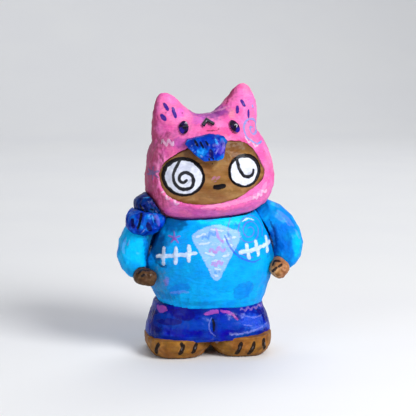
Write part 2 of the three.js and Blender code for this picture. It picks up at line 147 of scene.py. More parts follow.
def remeshed(node, voxel, rounds):
    """The CAD node's skin as an even grid of quads: vertices in mm and quads."""
    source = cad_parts[node].data.copy()
    b = bmesh.new()
    b.from_mesh(source)
    bmesh.ops.remove_doubles(b, verts=b.verts, dist=1e-6)
    b.to_mesh(source)
    b.free()
    piece = bpy.data.objects.new("skin", source)
    bpy.context.scene.collection.objects.link(piece)
    remesh = piece.modifiers.new("remesh", "REMESH")
    remesh.mode, remesh.voxel_size = "VOXEL", voxel * MM
    if rounds:
        ease = piece.modifiers.new("ease", "SMOOTH")
        ease.factor, ease.iterations = 0.5, rounds
    mesh = bpy.data.meshes.new_from_object(piece.evaluated_get(bpy.context.evaluated_depsgraph_get()))
    co = np.zeros(len(mesh.vertices) * 3)
    mesh.vertices.foreach_get("co", co)
    corners = np.zeros(len(mesh.loops), int)
    mesh.loops.foreach_get("vertex_index", corners)
    if len(corners) != 4 * len(mesh.polygons):
        raise ValueError(f"{node}: the remesh is not all quads")
    bpy.data.objects.remove(piece)
    bpy.data.meshes.remove(source)
    bpy.data.meshes.remove(mesh)
    return co.reshape(-1, 3) / MM, corners.reshape(-1, 4)


class Clay:
    """A piece's painted skin. Shape first (push, groove), then paint (coat, dabs, mark), then build."""

    def __init__(self, node, voxel, rounds=14, seed=1):
        self.node = node
        self.co, self.quads = remeshed(node, voxel, rounds)
        a = self.quads.ravel()
        b = np.roll(self.quads, -1, axis=1).ravel()
        self.edges = np.unique(np.sort(np.column_stack([a, b]), axis=1), axis=0)
        self.noise = Noise(seed)
        self.rng = np.random.default_rng(seed)
        self.inks = {}
        self.calm = np.ones(len(self.co))  # how much of each push a vertex takes
        self.measure()

    def measure(self):
        """Vertex normals of the present shape."""
        q = self.co[self.quads]
        flat = np.cross(q[:, 2] - q[:, 0], q[:, 3] - q[:, 1])
        n = np.column_stack([np.bincount(self.quads.ravel(), np.repeat(flat[:, k], 4),
            len(self.co)) for k in range(3)])
        self.normal = n / np.maximum(np.linalg.norm(n, axis=1), 1e-12)[:, None]

    def relax(self, rounds, weight):
        """Smooths the skin where weight is above 0."""
        live = weight > 0.01
        edges = self.edges[live[self.edges].any(axis=1)]
        a, b = edges.T
        degree = np.maximum(np.bincount(np.r_[a, b], minlength=len(self.co)), 1)
        for _ in range(rounds):
            for k in range(3):
                v = self.co[:, k]
                mean = np.bincount(np.r_[a, b], np.r_[v[b], v[a]], len(v)) / degree
                v[live] += 0.5 * weight[live] * (mean[live] - v[live])
        self.measure()

    def push(self, height):
        """Moves the skin outward by height at each vertex, less where calm is below 1."""
        self.co = self.co + (height * self.calm)[:, None] * self.normal
        self.measure()

    def shift(self, way, share):
        """Moves the skin along one direction by share of it."""
        self.co = self.co + share[:, None] * np.array(way, float)
        self.measure()

    def lumps(self, coarse, fine, coarse_size=9.0, fine_size=3.2):
        """The uneven surface of hand-modelled clay under brushed paint."""
        self.push(coarse * (self.noise(self.co, coarse_size) - 0.35) + fine * self.noise(self.co + 40,
            fine_size, 2))

    def lift(self, points, side=FRONT):
        """Points given as (x, z) put on the skin's front or back."""
        co = self.co[self.normal[:, 1] * side > 0.02]
        found = []
        for x, z in np.array(points, float):
            flat = (co[:, 0] - x) ** 2 + (co[:, 2] - z) ** 2
            near = np.flatnonzero(flat < max(0.5, flat.min() + 0.1))
            depth = co[near, 1] * side
            near = near[depth > depth.max() - 2.5]
            weight = 1 / (flat[near] + 0.01) ** 2
            found.append(weight @ co[near] / weight.sum())
        return np.array(found)

    def reach(self, path, radius):
        """The vertices within radius of a lifted path, their distance from it, and how far along."""
        low, high = path.min(0) - radius, path.max(0) + radius
        near = np.flatnonzero(((self.co > low) & (self.co < high)).all(axis=1))
        if not len(near):
            return near, np.zeros(0), np.zeros(0)
        best, along = np.full(len(near), np.inf), np.zeros(len(near))
        spots = self.co[near]
        for k in range(len(path) - 1):
            a, d = path[k], path[k + 1] - path[k]
            t = np.clip((spots - a) @ d / max(d @ d, 1e-12), 0, 1)
            gap = np.linalg.norm(spots - a - t[:, None] * d, axis=1)
            closer = gap < best
            best[closer], along[closer] = gap[closer], (k + t[closer]) / (len(path) - 1)
        inside = best < radius
        return near[inside], best[inside], along[inside]

    def groove(self, points, width, depth, side=FRONT):
        """A furrow (or, with a negative depth, a ridge) along a path."""
        near, gap, along = self.reach(self.lift(curve(points), side), width)
        height = np.zeros(len(self.co))
        height[near] = -depth * bump(gap, width) * smooth(0, 0.12, along) * smooth(0, 0.12, 1 - along)
        self.push(height)

    def coat(self, *tones, size=7.0, stretch=(1, 1, 1)):
        """The base colour, drifting between tones."""
        self.paint = np.tile(srgb(*tones[0]), (len(self.co), 1))
        for k, tone in enumerate(tones[1:]):
            share = smooth(-0.15, 0.55, self.noise(self.co + 91 * (k + 1), np.array(stretch) * size, 2))
            self.glaze(share, tone, 0.75)

    def patches(self, *rows):
        for row in rows:
            self.patch(*row)

    def marks(self, *rows):
        for row in rows:
            self.mark(*row)

    def glaze(self, share, tone, amount=1.0):
        """Lays a colour over the vertices by share, 0 to 1."""
        w = (np.clip(share, 0, 1) * amount)[:, None]
        self.paint = self.paint * (1 - w) + srgb(*tone) * w

    def patch(self, centre, radii, tone, amount):
        """A soft, ragged area of colour on the front around an (x, z) centre."""
        rx, rz = radii
        reach = np.hypot((self.co[:, 0] - centre[0]) / rx, (self.co[:, 2] - centre[1]) / rz)
        reach += 0.35 * self.noise(self.co + 7, 0.6 * min(rx, rz), 2)
        self.glaze((1 - smooth(0.55, 1.1, reach)) * (self.normal[:, 1] < 0.1), tone, amount)

    def dabs(self, count, tones, length=5.0, half=0.9, amount=0.45, relief=0.03, slope=None):
        """Short brush strokes all over, each with a slight ridge. slope is their usual direction."""
        height = np.zeros(len(self.co))
        for _ in range(count):
            at = self.rng.integers(len(self.co))
            n = self.normal[at]
            way = self.rng.normal(size=3)
            if slope is not None:
                way = np.array(slope) + 0.35 * way
            way = way - (way @ n) * n
            way /= max(np.linalg.norm(way), 1e-6)
            run, wide = length * self.rng.uniform(0.5, 1.3), half * self.rng.uniform(0.6, 1.3)
            strength, tone = amount * self.rng.uniform(0.5, 1.2), tones[self.rng.integers(len(tones))]
            bend = np.cross(n, way) * self.rng.uniform(-0.15, 0.15) * run
            path = self.co[at] + np.outer([-0.5, 0, 0.5], way) * run + np.outer([0, 1, 0], bend)
            near, gap, along = self.reach(curve(path, 0.8), 1.4 * wide)
            gap = gap + 0.25 * wide * self.noise(self.co[near], 1.1)
            cover = (1 - smooth(0.55 * wide, 1.05 * wide, gap)) * smooth(0, 0.15, along) * smooth(-0.1,
                0.5, 1 - along)
            share = np.zeros(len(self.co))
            share[near] = cover
            self.glaze(share, tone, min(strength, 1))
            height[near] = np.maximum(height[near], relief * bump(gap - 0.6 * wide, 0.6 * wide))
        self.push(height)

    def ink(self, name, near, value):
        field = self.inks.setdefault(name, np.full(len(self.co), INK_FLOOR))
        field[near] = np.maximum(field[near], value)

    def mark(self, name, points, half, taper=0.35, wobble=0.12, side=FRONT, relief=0.04,
            straight=False):
        """A brushed line of an ink, kept as each vertex's depth inside the line, in mm."""
        path = self.lift(curve(points) if not straight else np.array(points, float), side)
        near, gap, along = self.reach(path, half + 1.5)
        ends = 1 - taper * np.abs(2 * along - 1) ** 4
        width = half * ends + wobble * self.noise(self.co[near] + 5, 1.6)
        self.ink(name, near, width - gap)
        if relief:
            height = np.zeros(len(self.co))
            height[near] = relief * smooth(-0.3, 0.4, width - gap)
            self.co = self.co + height[:, None] * self.normal

    def area(self, name, outline, side=FRONT, wobble=0.25):
        """A filled shape of an ink, given as an (x, z) outline."""
        p = curve([*outline, outline[0]],
            0.6) if len(outline) > 8 else np.array([*outline, outline[0]], float)
        low, high = p.min(0) - 1.5, p.max(0) + 1.5
        flat = self.co[:, [0, 2]]
        near = np.flatnonzero(((flat > low) & (flat < high)).all(axis=1) & (self.normal[:,
            1] * side > 0.05))
        spots = flat[near]
        gap, inside = np.full(len(near), np.inf), np.zeros(len(near), bool)
        for a, b in zip(p, p[1:]):
            d = b - a
            t = np.clip((spots - a) @ d / max(d @ d, 1e-12), 0, 1)
            gap = np.minimum(gap, np.linalg.norm(spots - a - t[:, None] * d, axis=1))
            crosses = (a[1] > spots[:, 1]) != (b[1] > spots[:, 1])
            with np.errstate(divide="ignore", invalid="ignore"):
                inside ^= crosses & (spots[:, 0] < d[0] * (spots[:, 1] - a[1]) / d[1] + a[0])
        signed = np.where(inside, gap, -gap) + wobble * self.noise(self.co[near] + 3, 2.2)
        self.ink(name, near, signed)

    def oval(self, name, centre, radii, tilt=0.0, side=FRONT, wobble=0.25):
        """A filled oval of an ink."""
        t = np.radians(np.arange(0, 360, 20))
        c, s = math.cos(math.radians(tilt)), math.sin(math.radians(tilt))
        x, z = radii[0] * np.cos(t), radii[1] * np.sin(t)
        self.area(name, np.column_stack([centre[0] + c * x - s * z, centre[1] + s * x + c * z]), side,
            wobble)

    def build(self, name, body, material):
        """Writes the mesh inside the CAD box, hangs it on its body and hides the CAD part it replaces.
        """
        low, high = (np.array(corner) / MM for corner in cad_box)
        co = np.clip(self.co, low + 0.01, high - 0.01)
        mesh = bpy.data.meshes.new(name)
        mesh.vertices.add(len(co))
        mesh.vertices.foreach_set("co", (co * MM).ravel())
        mesh.loops.add(self.quads.size)
        mesh.loops.foreach_set("vertex_index", self.quads.ravel())
        mesh.polygons.add(len(self.quads))
        mesh.polygons.foreach_set("loop_start", np.arange(0, self.quads.size, 4))
        mesh.update(calc_edges=True)
        mesh.validate()
        mesh.polygons.foreach_set("use_smooth", np.ones(len(mesh.polygons), bool))
        colour = mesh.color_attributes.new("paint", "FLOAT_COLOR", "POINT")
        colour.data.foreach_set("color",
            np.column_stack([self.paint, np.ones(len(co))]).astype(np.float32).ravel())
        # An ink with no mark here is far from every vertex. Without its layer it would read as an edge.
        for node in material.node_tree.nodes:
            if node.type == "ATTRIBUTE" and node.attribute_name.startswith("ink_"):
                self.inks.setdefault(node.attribute_name[4:], np.full(len(co), INK_FLOOR))
        for ink, field in self.inks.items():
            layer = mesh.attributes.new("ink_" + ink, "FLOAT", "POINT")
            layer.data.foreach_set("value", field.astype(np.float32))
        mesh.materials.append(material)
        piece = bpy.data.objects.new(name, mesh)
        bpy.context.scene.collection.objects.link(piece)
        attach(piece, body)
        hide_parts(self.node)


# ---------------------------------------------------------------- materials
class Shader:
    """A small builder for one node material."""

    def __init__(self, name):
        self.material = bpy.data.materials.new(name)
        self.material.use_nodes = True
        self.tree = self.material.node_tree
        self.tree.nodes.clear()
        self.where = self.add("ShaderNodeTexCoord").outputs["Object"]

    def add(self, kind, inputs=None, **settings):
        node = self.tree.nodes.new(kind)
        for key, value in settings.items():
            setattr(node, key, value)
        for key, value in (inputs or {}).items():
            if isinstance(value, bpy.types.NodeSocket):
                self.tree.links.new(value, node.inputs[key])
            else:
                node.inputs[key].default_value = value
        return node

    def at(self, scale):
        """Object coordinates stretched by scale, one number per axis, in turns per millimetre."""
        return self.add("ShaderNodeMapping",
            {"Vector": self.where, "Scale": [s / MM for s in scale]}).outputs[0]

    def speckle(self, scale, detail=2.0, rough=0.5, warp=0.0):
        """Noise, 0 to 1 around 0.5, with scale in turns per millimetre for each axis."""
        return self.add("ShaderNodeTexNoise",
            {"Vector": self.at(scale), "Scale": 1.0, "Detail": detail, "Roughness": rough,
            "Distortion": warp}).outputs["Fac"]

    def remap(self, value, low, high, to_low=0.0, to_high=1.0):
        return self.add("ShaderNodeMapRange",
            {"Value": value, "From Min": low, "From Max": high, "To Min": to_low, "To Max": to_high},
            interpolation_type="SMOOTHSTEP").outputs["Result"]

    def math(self, operation, a, b):
        node = self.add("ShaderNodeMath", operation=operation)
        for socket, value in zip(node.inputs, (a, b)):
            if isinstance(value, bpy.types.NodeSocket):
                self.tree.links.new(value, socket)
            else:
                socket.default_value = value
        return node.outputs[0]

    def mix(self, share, a, b):
        """Colour a turning into colour b by share."""
        node = self.add("ShaderNodeMix", data_type="RGBA")
        for socket, value in zip((node.inputs[0], node.inputs[6], node.inputs[7]), (share, a, b)):
            if isinstance(value, bpy.types.NodeSocket):
                self.tree.links.new(value, socket)
            else:
                socket.default_value = value
        return node.outputs[2]

    def finish(self, colour, roughness, height, depth, coat):
        relief = self.add("ShaderNodeBump", {"Height": height, "Strength": 1.0, "Distance": depth * MM})
        paint = self.add("ShaderNodeBsdfPrincipled",
            {"Base Color": colour, "Roughness": roughness, "Normal": relief.outputs[0],
            "Coat Weight": coat, "Coat Roughness": VARNISH_ROUGHNESS,
            "Specular IOR Level": PAINT_SPECULAR})
        out = self.add("ShaderNodeOutputMaterial")
        self.tree.links.new(paint.outputs[0], out.inputs["Surface"])
        return self.material


def brushed(name, inks=(), streak=(0.35, 0.35, 1.6), gloss=0.4, depth=0.05, coat=0.3, drift=0.10):
    """Hand-brushed acrylic under varnish.

    inks: (name, colour, opacity, ragged edge in mm, dryness, roughness).
    """
    s = Shader(name)
    fibres = s.speckle(streak, 3.0, 0.6, 0.6)
    grit = s.speckle((2.6, 2.6, 2.6), 3.0, 0.55)
    cloud = s.speckle((0.16, 0.16, 0.16), 2.0, 0.5)
    colour = s.add("ShaderNodeAttribute", attribute_name="paint").outputs["Color"]
    value = s.math("MULTIPLY", s.remap(fibres, 0.3, 0.7, 1 - drift, 1 + drift),
        s.remap(cloud, 0.3, 0.7, 0.95, 1.05))
    colour = s.add("ShaderNodeHueSaturation",
        {"Hue": s.remap(cloud, 0.3, 0.7, 0.493, 0.507),
        "Saturation": s.remap(grit, 0.3, 0.7, 1.08, 1.0), "Value": value, "Color": colour}).outputs[0]
    roughness = s.remap(s.math("ADD", fibres, s.math("MULTIPLY", cloud, 0.6)), 0.5, 1.1, gloss - 0.1,
        gloss + 0.16)
    height = s.math("ADD", fibres, s.math("MULTIPLY", grit, 0.55))
    for ink, tone, opacity, ragged, dry, rough in inks:
        inside = s.add("ShaderNodeAttribute", attribute_name="ink_" + ink).outputs["Fac"]
        edge = s.math("ADD", inside, s.math("MULTIPLY", s.math("SUBTRACT", grit, 0.5), ragged * 4))
        cover = s.remap(edge, -0.12, 0.14)
        streaky = s.remap(fibres, 0.62 - 0.30 * dry, 0.34 - 0.12 * dry, 1 - dry, 1.0)
        share = s.math("MULTIPLY", cover, s.math("MULTIPLY", streaky, opacity))
        colour = s.mix(share, colour, (*srgb(*tone), 1))
        roughness = s.math("ADD", s.math("MULTIPLY", roughness, s.math("SUBTRACT", 1.0, share)),
            s.math("MULTIPLY", share, rough))
        height = s.math("ADD", height, s.math("MULTIPLY", share, 0.9))
    return s.finish(colour, roughness, height, depth, coat)


def moulded(name, tone):
    """The joint plugs' moulded plastic, plain with faint flow lines."""
    s = Shader(name)
    flow = s.speckle((0.3, 0.3, 0.9), 3.0, 0.5, 1.0)
    grit = s.speckle((3.5, 3.5, 3.5), 2.0, 0.5)
    colour = s.mix(s.remap(flow, 0.35, 0.65), (*srgb(*tone), 1), (*srgb(*[0.9 * t for t in tone]), 1))
    return s.finish(colour, s.remap(grit, 0.3, 0.7, 0.42, 0.55), s.math("ADD", grit, flow), 0.02, 0.0)


# ---------------------------------------------------------------- the hood
PINK = (240, 122, 188)
HEAD_AT, HEAD_LEAN = np.array([-0.6, 1.1, 80.4]), math.radians(6)
OPENING = {"x": -0.3, "z": -0.4, "half_width": 22.6, "half_height": 12.6, "power": 2.3, "tilt": 4}


def beside_opening(co):
    """Distance outside (positive) or inside the face opening, in its own plane."""
    x, z = co[:, 0] - HEAD_AT[0], co[:, 2] - HEAD_AT[2]
    c, s = math.cos(HEAD_LEAN), math.sin(HEAD_LEAN)
    x, z = x * c - z * s - OPENING["x"], x * s + z * c - OPENING["z"]
    c, s = math.cos(math.radians(OPENING["tilt"])), math.sin(math.radians(OPENING["tilt"]))
    u = np.abs(x * c + z * s) / OPENING["half_width"] + 1e-6
    v = np.abs(z * c - x * s) / OPENING["half_height"] + 1e-6
    p = OPENING["power"]
    f = (u**p + v**p) ** (1 / p)
    slope = np.hypot((u / f) ** (p - 1) / OPENING["half_width"],
        (v / f) ** (p - 1) / OPENING["half_height"])
    return (f - 1) / slope


def make_hood():
    c = Clay("hood_shell", 0.42, 10, seed=11)
    c.calm = smooth(*HOOD_CALM, c.co[:, 2])
    outer = smooth(-0.1, 0.3, ((c.co - HEAD_AT) * c.normal).sum(axis=1))
    ears = smooth(91, 96, c.co[:, 2]) * (1 - smooth(106, 110, c.co[:, 2]))
    c.relax(16, 0.9 * ears * outer)
    front = smooth(0.1, 0.6, -c.normal[:, 1])
    rim = beside_opening(c.co)
    chin = 1 - smooth(68, 78, c.co[:, 2])
    for corner, reach, way in (((19.2, 88), 10.5, (-1.9, -3, -2.6)),
            ((16, 71.5), 9, (-0.5, -0.25, 1.2))):
        near = bump(np.hypot(c.co[:, 0] - corner[0], c.co[:, 2] - corner[1]), reach)
        c.shift(way, near * bump(rim, 5) * smooth(4, -4, c.co[:, 1]))
    c.push(front * bump(rim - 2.6, 2.6) * (0.25 + 0.45 * chin))
    c.lumps(0.34, 0.2, 8, 2.6)
    for path in ([(-18.6, 104.4), (-17.6, 101.6)], [(-13.6, 105), (-12.6, 103)],
            [(-11, 93.6), (-8, 95.8)], [(6, 95.2), (9, 94)], [(9.8, 95.6), (13.5, 93)],
            [(-3, 98.4), (2, 98.8)], [(-24, 88), (-22, 84.5)], [(-5, 63.6), (3, 63.2)],
            [(12, 65), (17, 67)]):
        c.groove(path, 1.1, 0.22)

    c.coat(PINK, (246, 140, 200), (228, 98, 168), (243, 128, 178), size=8)
    tones = [(250, 152, 208), (232, 104, 172), (244, 120, 190), (222, 92, 160), (248, 140, 190),
        (238, 118, 196)]
    c.dabs(340, tones, 6, 1.1, 0.4, 0.07)
    c.dabs(260, tones, 3, 0.55, 0.4, 0.07)
    # Painted shade: the hood's left flank is glazed dark red, partly red underpaint showing through the
    # pink and partly shade on the side turned from the light.
    flank_underpaint_and_shade = smooth(0.55, 0.95, -c.normal[:, 0] + 0.12 * c.noise(c.co, 3, 2)) * (1 - smooth(8, 16,
        c.co[:, 1]))
    c.glaze(flank_underpaint_and_shade, (140, 44, 66), 0.72)
    # The second patch is painted shade, a purple shade under the brow at the upper left of the face
    # opening.
    c.patches(((-1, 105), (9.5, 3.6), (132, 62, 146), 0.9),
        ((-14.5, 92.6), (5, 2.6), (158, 74, 165), 0.62),
        ((-5.5, 101.5), (4, 1.8), (196, 96, 205), 0.5),
        ((-13.8, 104.6), (2.6, 2.2), (214, 92, 214), 0.35),
        ((1.5, 97.2), (9, 2.2), (226, 70, 140), 0.45), ((10.5, 92.4), (4.5, 2), (206, 60, 120), 0.5),
        ((8, 104), (1.6, 2.2), (240, 168, 160), 0.35), ((20, 76), (4.5, 9), (252, 132, 190), 0.5),
        ((3, 65.5), (14, 3), (226, 100, 160), 0.4))
    inside = 1 - outer
    c.glaze(inside, (196, 120, 150), 0.8)

    for path, half in (([(-20.4, 108.2), (-18.9, 105.8)], 0.72),
            ([(-16.8, 106.3), (-15.9, 102.9)], 0.75), ([(-21.5, 103.3), (-20.3, 101.9)], 1),
            ([(12.6, 109.4), (13.8, 107.2)], 0.7), ([(10.8, 106.9), (10.5, 104.5)], 0.7),
            ([(15.5, 105.2), (15.7, 102.2)], 0.62)):
        c.mark("navy", path, half, 0.2)
    c.marks(("sky", [(17.5, 107.2), (17.8, 106.6)], 0.62, 0.1),
        ("sky", [(20.9, 92.2), (18.7, 91.4), (16, 92.6), (13.7, 94.5), (12.8, 97.2), (13.6, 99.7),
        (16, 101.5), (18.5, 100.9), (19.6, 98.6), (18.9, 96.3), (17, 95.4), (15.8, 96.8), (16.5, 98.3),
        (17.5, 97.7)], 0.56, 0.1, 0.16),
        ("white", wavy((-22, 92), (-17.6, 92.8), 2, 1.1), 0.56, 0.2, 0.2))
    c.mark("white", [(12.9, 94.7), (14.3, 92.2), (15.7, 93.3), (17.1, 90.4), (18.6, 90.9)], 0.48, 0.2,
        0.2, straight=True)
    c.marks(("white", wavy((-22.6, 71.6), (-15.6, 67.6), 2, 1.3), 0.52, 0.2, 0.2),
        ("white", wavy((15.8, 68.4), (22, 71.9), 3, 0.85), 0.46, 0.2, 0.2))
    for angle in (25, 85, 145):
        dx, dz = 2.3 * math.cos(math.radians(angle)), 2.6 * math.sin(math.radians(angle))
        c.mark("slate", [(-25.8 - dx, 79.3 - dz), (-25.8 + dx, 79.3 + dz)], 0.5, 0.3, 0.15)
    # The first two rose lines are painted highlights along the left and lower lip of the face opening.
    c.marks(("rose", [(-23, 85.5), (-24, 82), (-24.2, 78.5), (-23.2, 74.5)], 0.42, 0.5, 0.2),
        ("rose", [(-7, 65.6), (1, 66.4), (9, 67.6), (15.5, 69.2), (20.6, 72.6), (23.2, 76.8)], 0.95,
        0.6, 0.5), ("rose", [(-3.5, 104.6), (3, 105.3), (7.5, 107.2)], 0.7, 0.6, 0.5),
        ("wine", [(6.8, 93), (11.5, 91.3), (15.2, 89), (18.8, 85.8)], 0.34, 0.5, 0.3),
        ("wine", [(-3.6, 97.4), (1, 97.5)], 0.32, 0.4, 0.35),
        ("wine", [(6.4, 107.8), (8.4, 112), (10.8, 115.2)], 0.5, 0.5, 0.4))
    for x, z in ((1.3, 97.9), (3.3, 94.6), (-20, 104.4), (-13, 104.3), (15.5, 100.2), (-19, 96),
            (21.5, 88), (-1, 64.6), (6, 64), (-18, 112.3)):
        c.mark("wine", [(x, z), (x + 0.3, z + 0.2)], 0.26, 0, 0.1)
    c.marks(("sky", spiral((4, 92), 0.8, 4.6, 200, 1.9), 0.5, 0.1, 0.16, BACK),
        ("white", wavy((-16, 84), (-8, 81), 3, 1), 0.5, 0.2, 0.2, BACK),
        ("white", wavy((9, 72), (16, 75), 3, 0.9), 0.45, 0.2, 0.2, BACK))
    for x, z in ((-17.5, 104.5), (-19.6, 101.5), (12, 106), (14.5, 103.2)):
        c.mark("navy", [(x, z + 1.3), (x + 0.3, z - 1.2)], 0.75, 0.25, side=BACK)
    c.measure()
    material = brushed("paint_pink_hood",
        [("rose", (255, 172, 216), 0.75, 0.35, 0.5, 0.35),
        ("wine", (128, 34, 64), 0.85, 0.25, 0.3, 0.4),
        ("white", (244, 214, 240), 0.78, 0.16, 0.35, 0.5),
        ("slate", (92, 104, 158), 0.9, 0.16, 0.3, 0.5),
        ("sky", (92, 158, 226), 0.92, 0.14, 0.25, 0.45), ("navy", (34, 30, 142), 1, 0.12, 0.08, 0.3)],
        streak=(0.5, 0.5, 1.3), gloss=0.44, depth=0.26, coat=0.12)
    c.build("painted_hood", "head", material)


def make_hood_eye(node, name, seed, glint, rim):
    c = Clay(node, 0.16, 8, seed=seed)
    c.coat((16, 8, 30), (34, 16, 70), size=2)
    middle = (c.co.min(0) + c.co.max(0)) / 2
    c.patch((middle[0] + rim[0], middle[2] + rim[1]), (1.3, 1.3), (60, 44, 170), 0.6)
    c.mark("glint", [(middle[0] + x, middle[2] + z) for x, z in glint], 0.3, 0.4, 0.12, relief=0.02)
    c.build(name, "head",
        brushed("paint_" + name, [("glint", (226, 222, 236), 0.8, 0.12, 0.45, 0.2)], gloss=0.24,
        depth=0.02, coat=0.45))


def make_hood_nose():
    c = Clay("hood_nose", 0.16, 8, seed=23)
    c.coat((14, 8, 24), (26, 16, 54), size=2)
    c.mark("glint", [(-3.5, 101), (-3, 101.6)], 0.18, 0.3, 0.1, relief=0)
    c.mark("blue", [(-1.3, 102), (-0.4, 101.2)], 0.32, 0.3, 0.1, relief=0)
    c.build("painted_hood_nose", "head",
        brushed("paint_hood_nose",
        [("blue", (60, 70, 190), 0.7, 0.1, 0.3, 0.2), ("glint", (215, 205, 230), 0.6, 0.1, 0.4, 0.2)],
        gloss=0.3, depth=0.02, coat=0.25))


# ---------------------------------------------------------------- the face
SKIN = (148, 108, 70)


def make_face():
    c = Clay("face_plate", 0.36, 8, seed=31)
    rim = beside_opening(c.co)
    out = (c.co - HEAD_AT) * (1, 0, 1)
    out /= np.maximum(np.linalg.norm(out, axis=1), 1e-6)[:, None]
    c.co = c.co + out * (0.75 * smooth(-3.5, -0.8, rim))[:, None]
    c.measure()
    c.lumps(0.16, 0.14, 7, 2.6)
    c.coat(SKIN, (162, 124, 84), (132, 90, 50), (120, 80, 44), size=6, stretch=(1.6, 1, 0.7))
    tones = [(170, 130, 88), (138, 96, 56), (122, 82, 46), (158, 112, 66), (150, 104, 62),
        (176, 136, 90)]
    c.dabs(170, tones, 6.5, 0.9, 0.42, 0.035, slope=(1, 0, 0.1))
    c.dabs(60, tones, 3, 0.5, 0.45, 0.03)
    # Painted shade: the face darkens along its upper edge, under the hood's rim.
    edge = smooth(-2.4, -0.4, beside_opening(c.co))
    c.glaze(edge * (c.co[:, 2] > 84), (92, 58, 40), 0.6)
    # The first patch is the forelock's shadow painted on the face; the second is painted shade under the
    # brow at the right.
    c.patches(((-9.5, 90), (5.5, 3.2), (88, 54, 46), 0.55),
        ((8.5, 90.2), (5, 1.6), (104, 66, 36), 0.45), ((-22.5, 72), (3, 4), (122, 96, 60), 0.5),
        ((-2.5, 71.2), (10, 2.6), (122, 84, 56), 0.5))
    c.mark("black", [(-1, 74.3), (2.6, 74.7)], 1.12, 0.12, 0.14, relief=0.10)
    for x, z, radius in ((-13.95, 78.6, 8.75), (12, 80.8, 7.45)):
        reach = np.hypot(c.co[:, 0] - x, 1.05 * (c.co[:, 2] - z))
        c.ink("black", np.arange(len(reach)), radius - reach + 0.2 * c.noise(c.co, 2.4, 2))
    c.marks(("lilac", [(-2.2, 77.5), (-0.8, 78.5)], 0.55, 0.3, 0.3),
        ("lilac", [(-0.4, 77.7), (0.8, 78.7)], 0.5, 0.3, 0.3),
        ("lilac", [(-1.4, 76.6), (-0.6, 76.9)], 0.32, 0.3, 0.2),
        ("black", [(-2.1, 84.3), (-2, 83.9)], 0.2, 0, 0.05))
    c.measure()
    material = brushed("paint_brown_face",
        [("lilac", (196, 118, 176), 0.75, 0.22, 0.5, 0.45),
        ("black", (12, 10, 18), 1, 0.1, 0.03, 0.3)], streak=(0.3, 0.6, 1.7), gloss=0.46, depth=0.15,
        coat=0.15)
    c.build("painted_face", "head", material)


def make_eye(node, name, seed, ring_inner, off, swirl):
    c = Clay(node, 0.2, 10, seed=seed)
    low, high = c.co.min(0), c.co.max(0)
    middle = (low + high) / 2
    c.co = middle + (c.co - middle) * (0.95, 1, 0.91)
    c.lumps(0.05, 0.04, 5, 1.6)
    c.coat((222, 226, 242), (204, 208, 228), (234, 236, 248), size=3.5)
    c.dabs(60, [(238, 240, 250), (206, 208, 226), (214, 216, 236), (190, 192, 214)], 3.5, 0.6, 0.5,
        0.02)
    x, z = c.co[:, 0] - middle[0], c.co[:, 2] - middle[2]
    c.ink("black", np.arange(len(x)),
        np.hypot(x - off[0], (z - off[1]) * 1.06) - ring_inner + 0.28 * c.noise(c.co, 2.6, 2))
    c.mark("black", [(middle[0] + p[0], middle[2] + p[1]) for p in swirl], 0.74, 0.15, 0.16,
        relief=0.05)
    c.mark("grey", [(middle[0] + 0.2 * ring_inner, middle[2] - 0.35 * ring_inner),
        (middle[0] + 0.45 * ring_inner, middle[2] - 0.1 * ring_inner)], 0.5, 0.4, 0.3, relief=0)
    c.measure()
    material = brushed("paint_" + name,
        [("grey", (120, 124, 146), 0.6, 0.3, 0.5, 0.4), ("black", (12, 11, 20), 1, 0.11, 0.03, 0.32)],
        streak=(0.6, 0.6, 1.4), gloss=0.36, depth=0.035, drift=0.06)
    c.build(name, "head", material)


LEFT_SWIRL = [(-1.1, 7.2), (-2.5, 4.6), (-3.9, 1.5), (-3.9, -1.6), (-2.3, -4.2), (0.4, -5.1),
    (3, -4.2), (4, -1.8), (3.3, 0.7), (1.1, 1.9), (-1.2, 1), (-1.7, -1.1), (-0.3, -2.3), (1.2, -1.4)]
RIGHT_SWIRL = [(-3.6, 6.6), (-3.3, 4), (-2.6, 1.2), (-1.1, -1.5), (1.2, -2.5), (3.3, -1.7), (3.9, 0.1)]


# ---------------------------------------------------------------- hair
NIGHT = (2, 50, 176)
HAIR_TONES = [(0, 108, 206), (0, 44, 166), (14, 84, 214), (0, 12, 104), (0, 138, 236), (36, 52, 180),
    (0, 70, 190)]


def hair_paint(name):
    return brushed(name, [("pale", (150, 170, 226), 0.62, 0.16, 0.6, 0.4),
        ("violet", (120, 92, 206), 0.75, 0.18, 0.5, 0.35),
        ("cyan", (44, 158, 240), 0.85, 0.18, 0.35, 0.35), ("navy", (8, 8, 84), 0.97, 0.14, 0.1, 0.3),
        ("black", (10, 10, 20), 1, 0.12, 0.05, 0.24)], streak=(0.9, 0.9, 1.1), gloss=0.34, depth=0.06,
        coat=0.14)


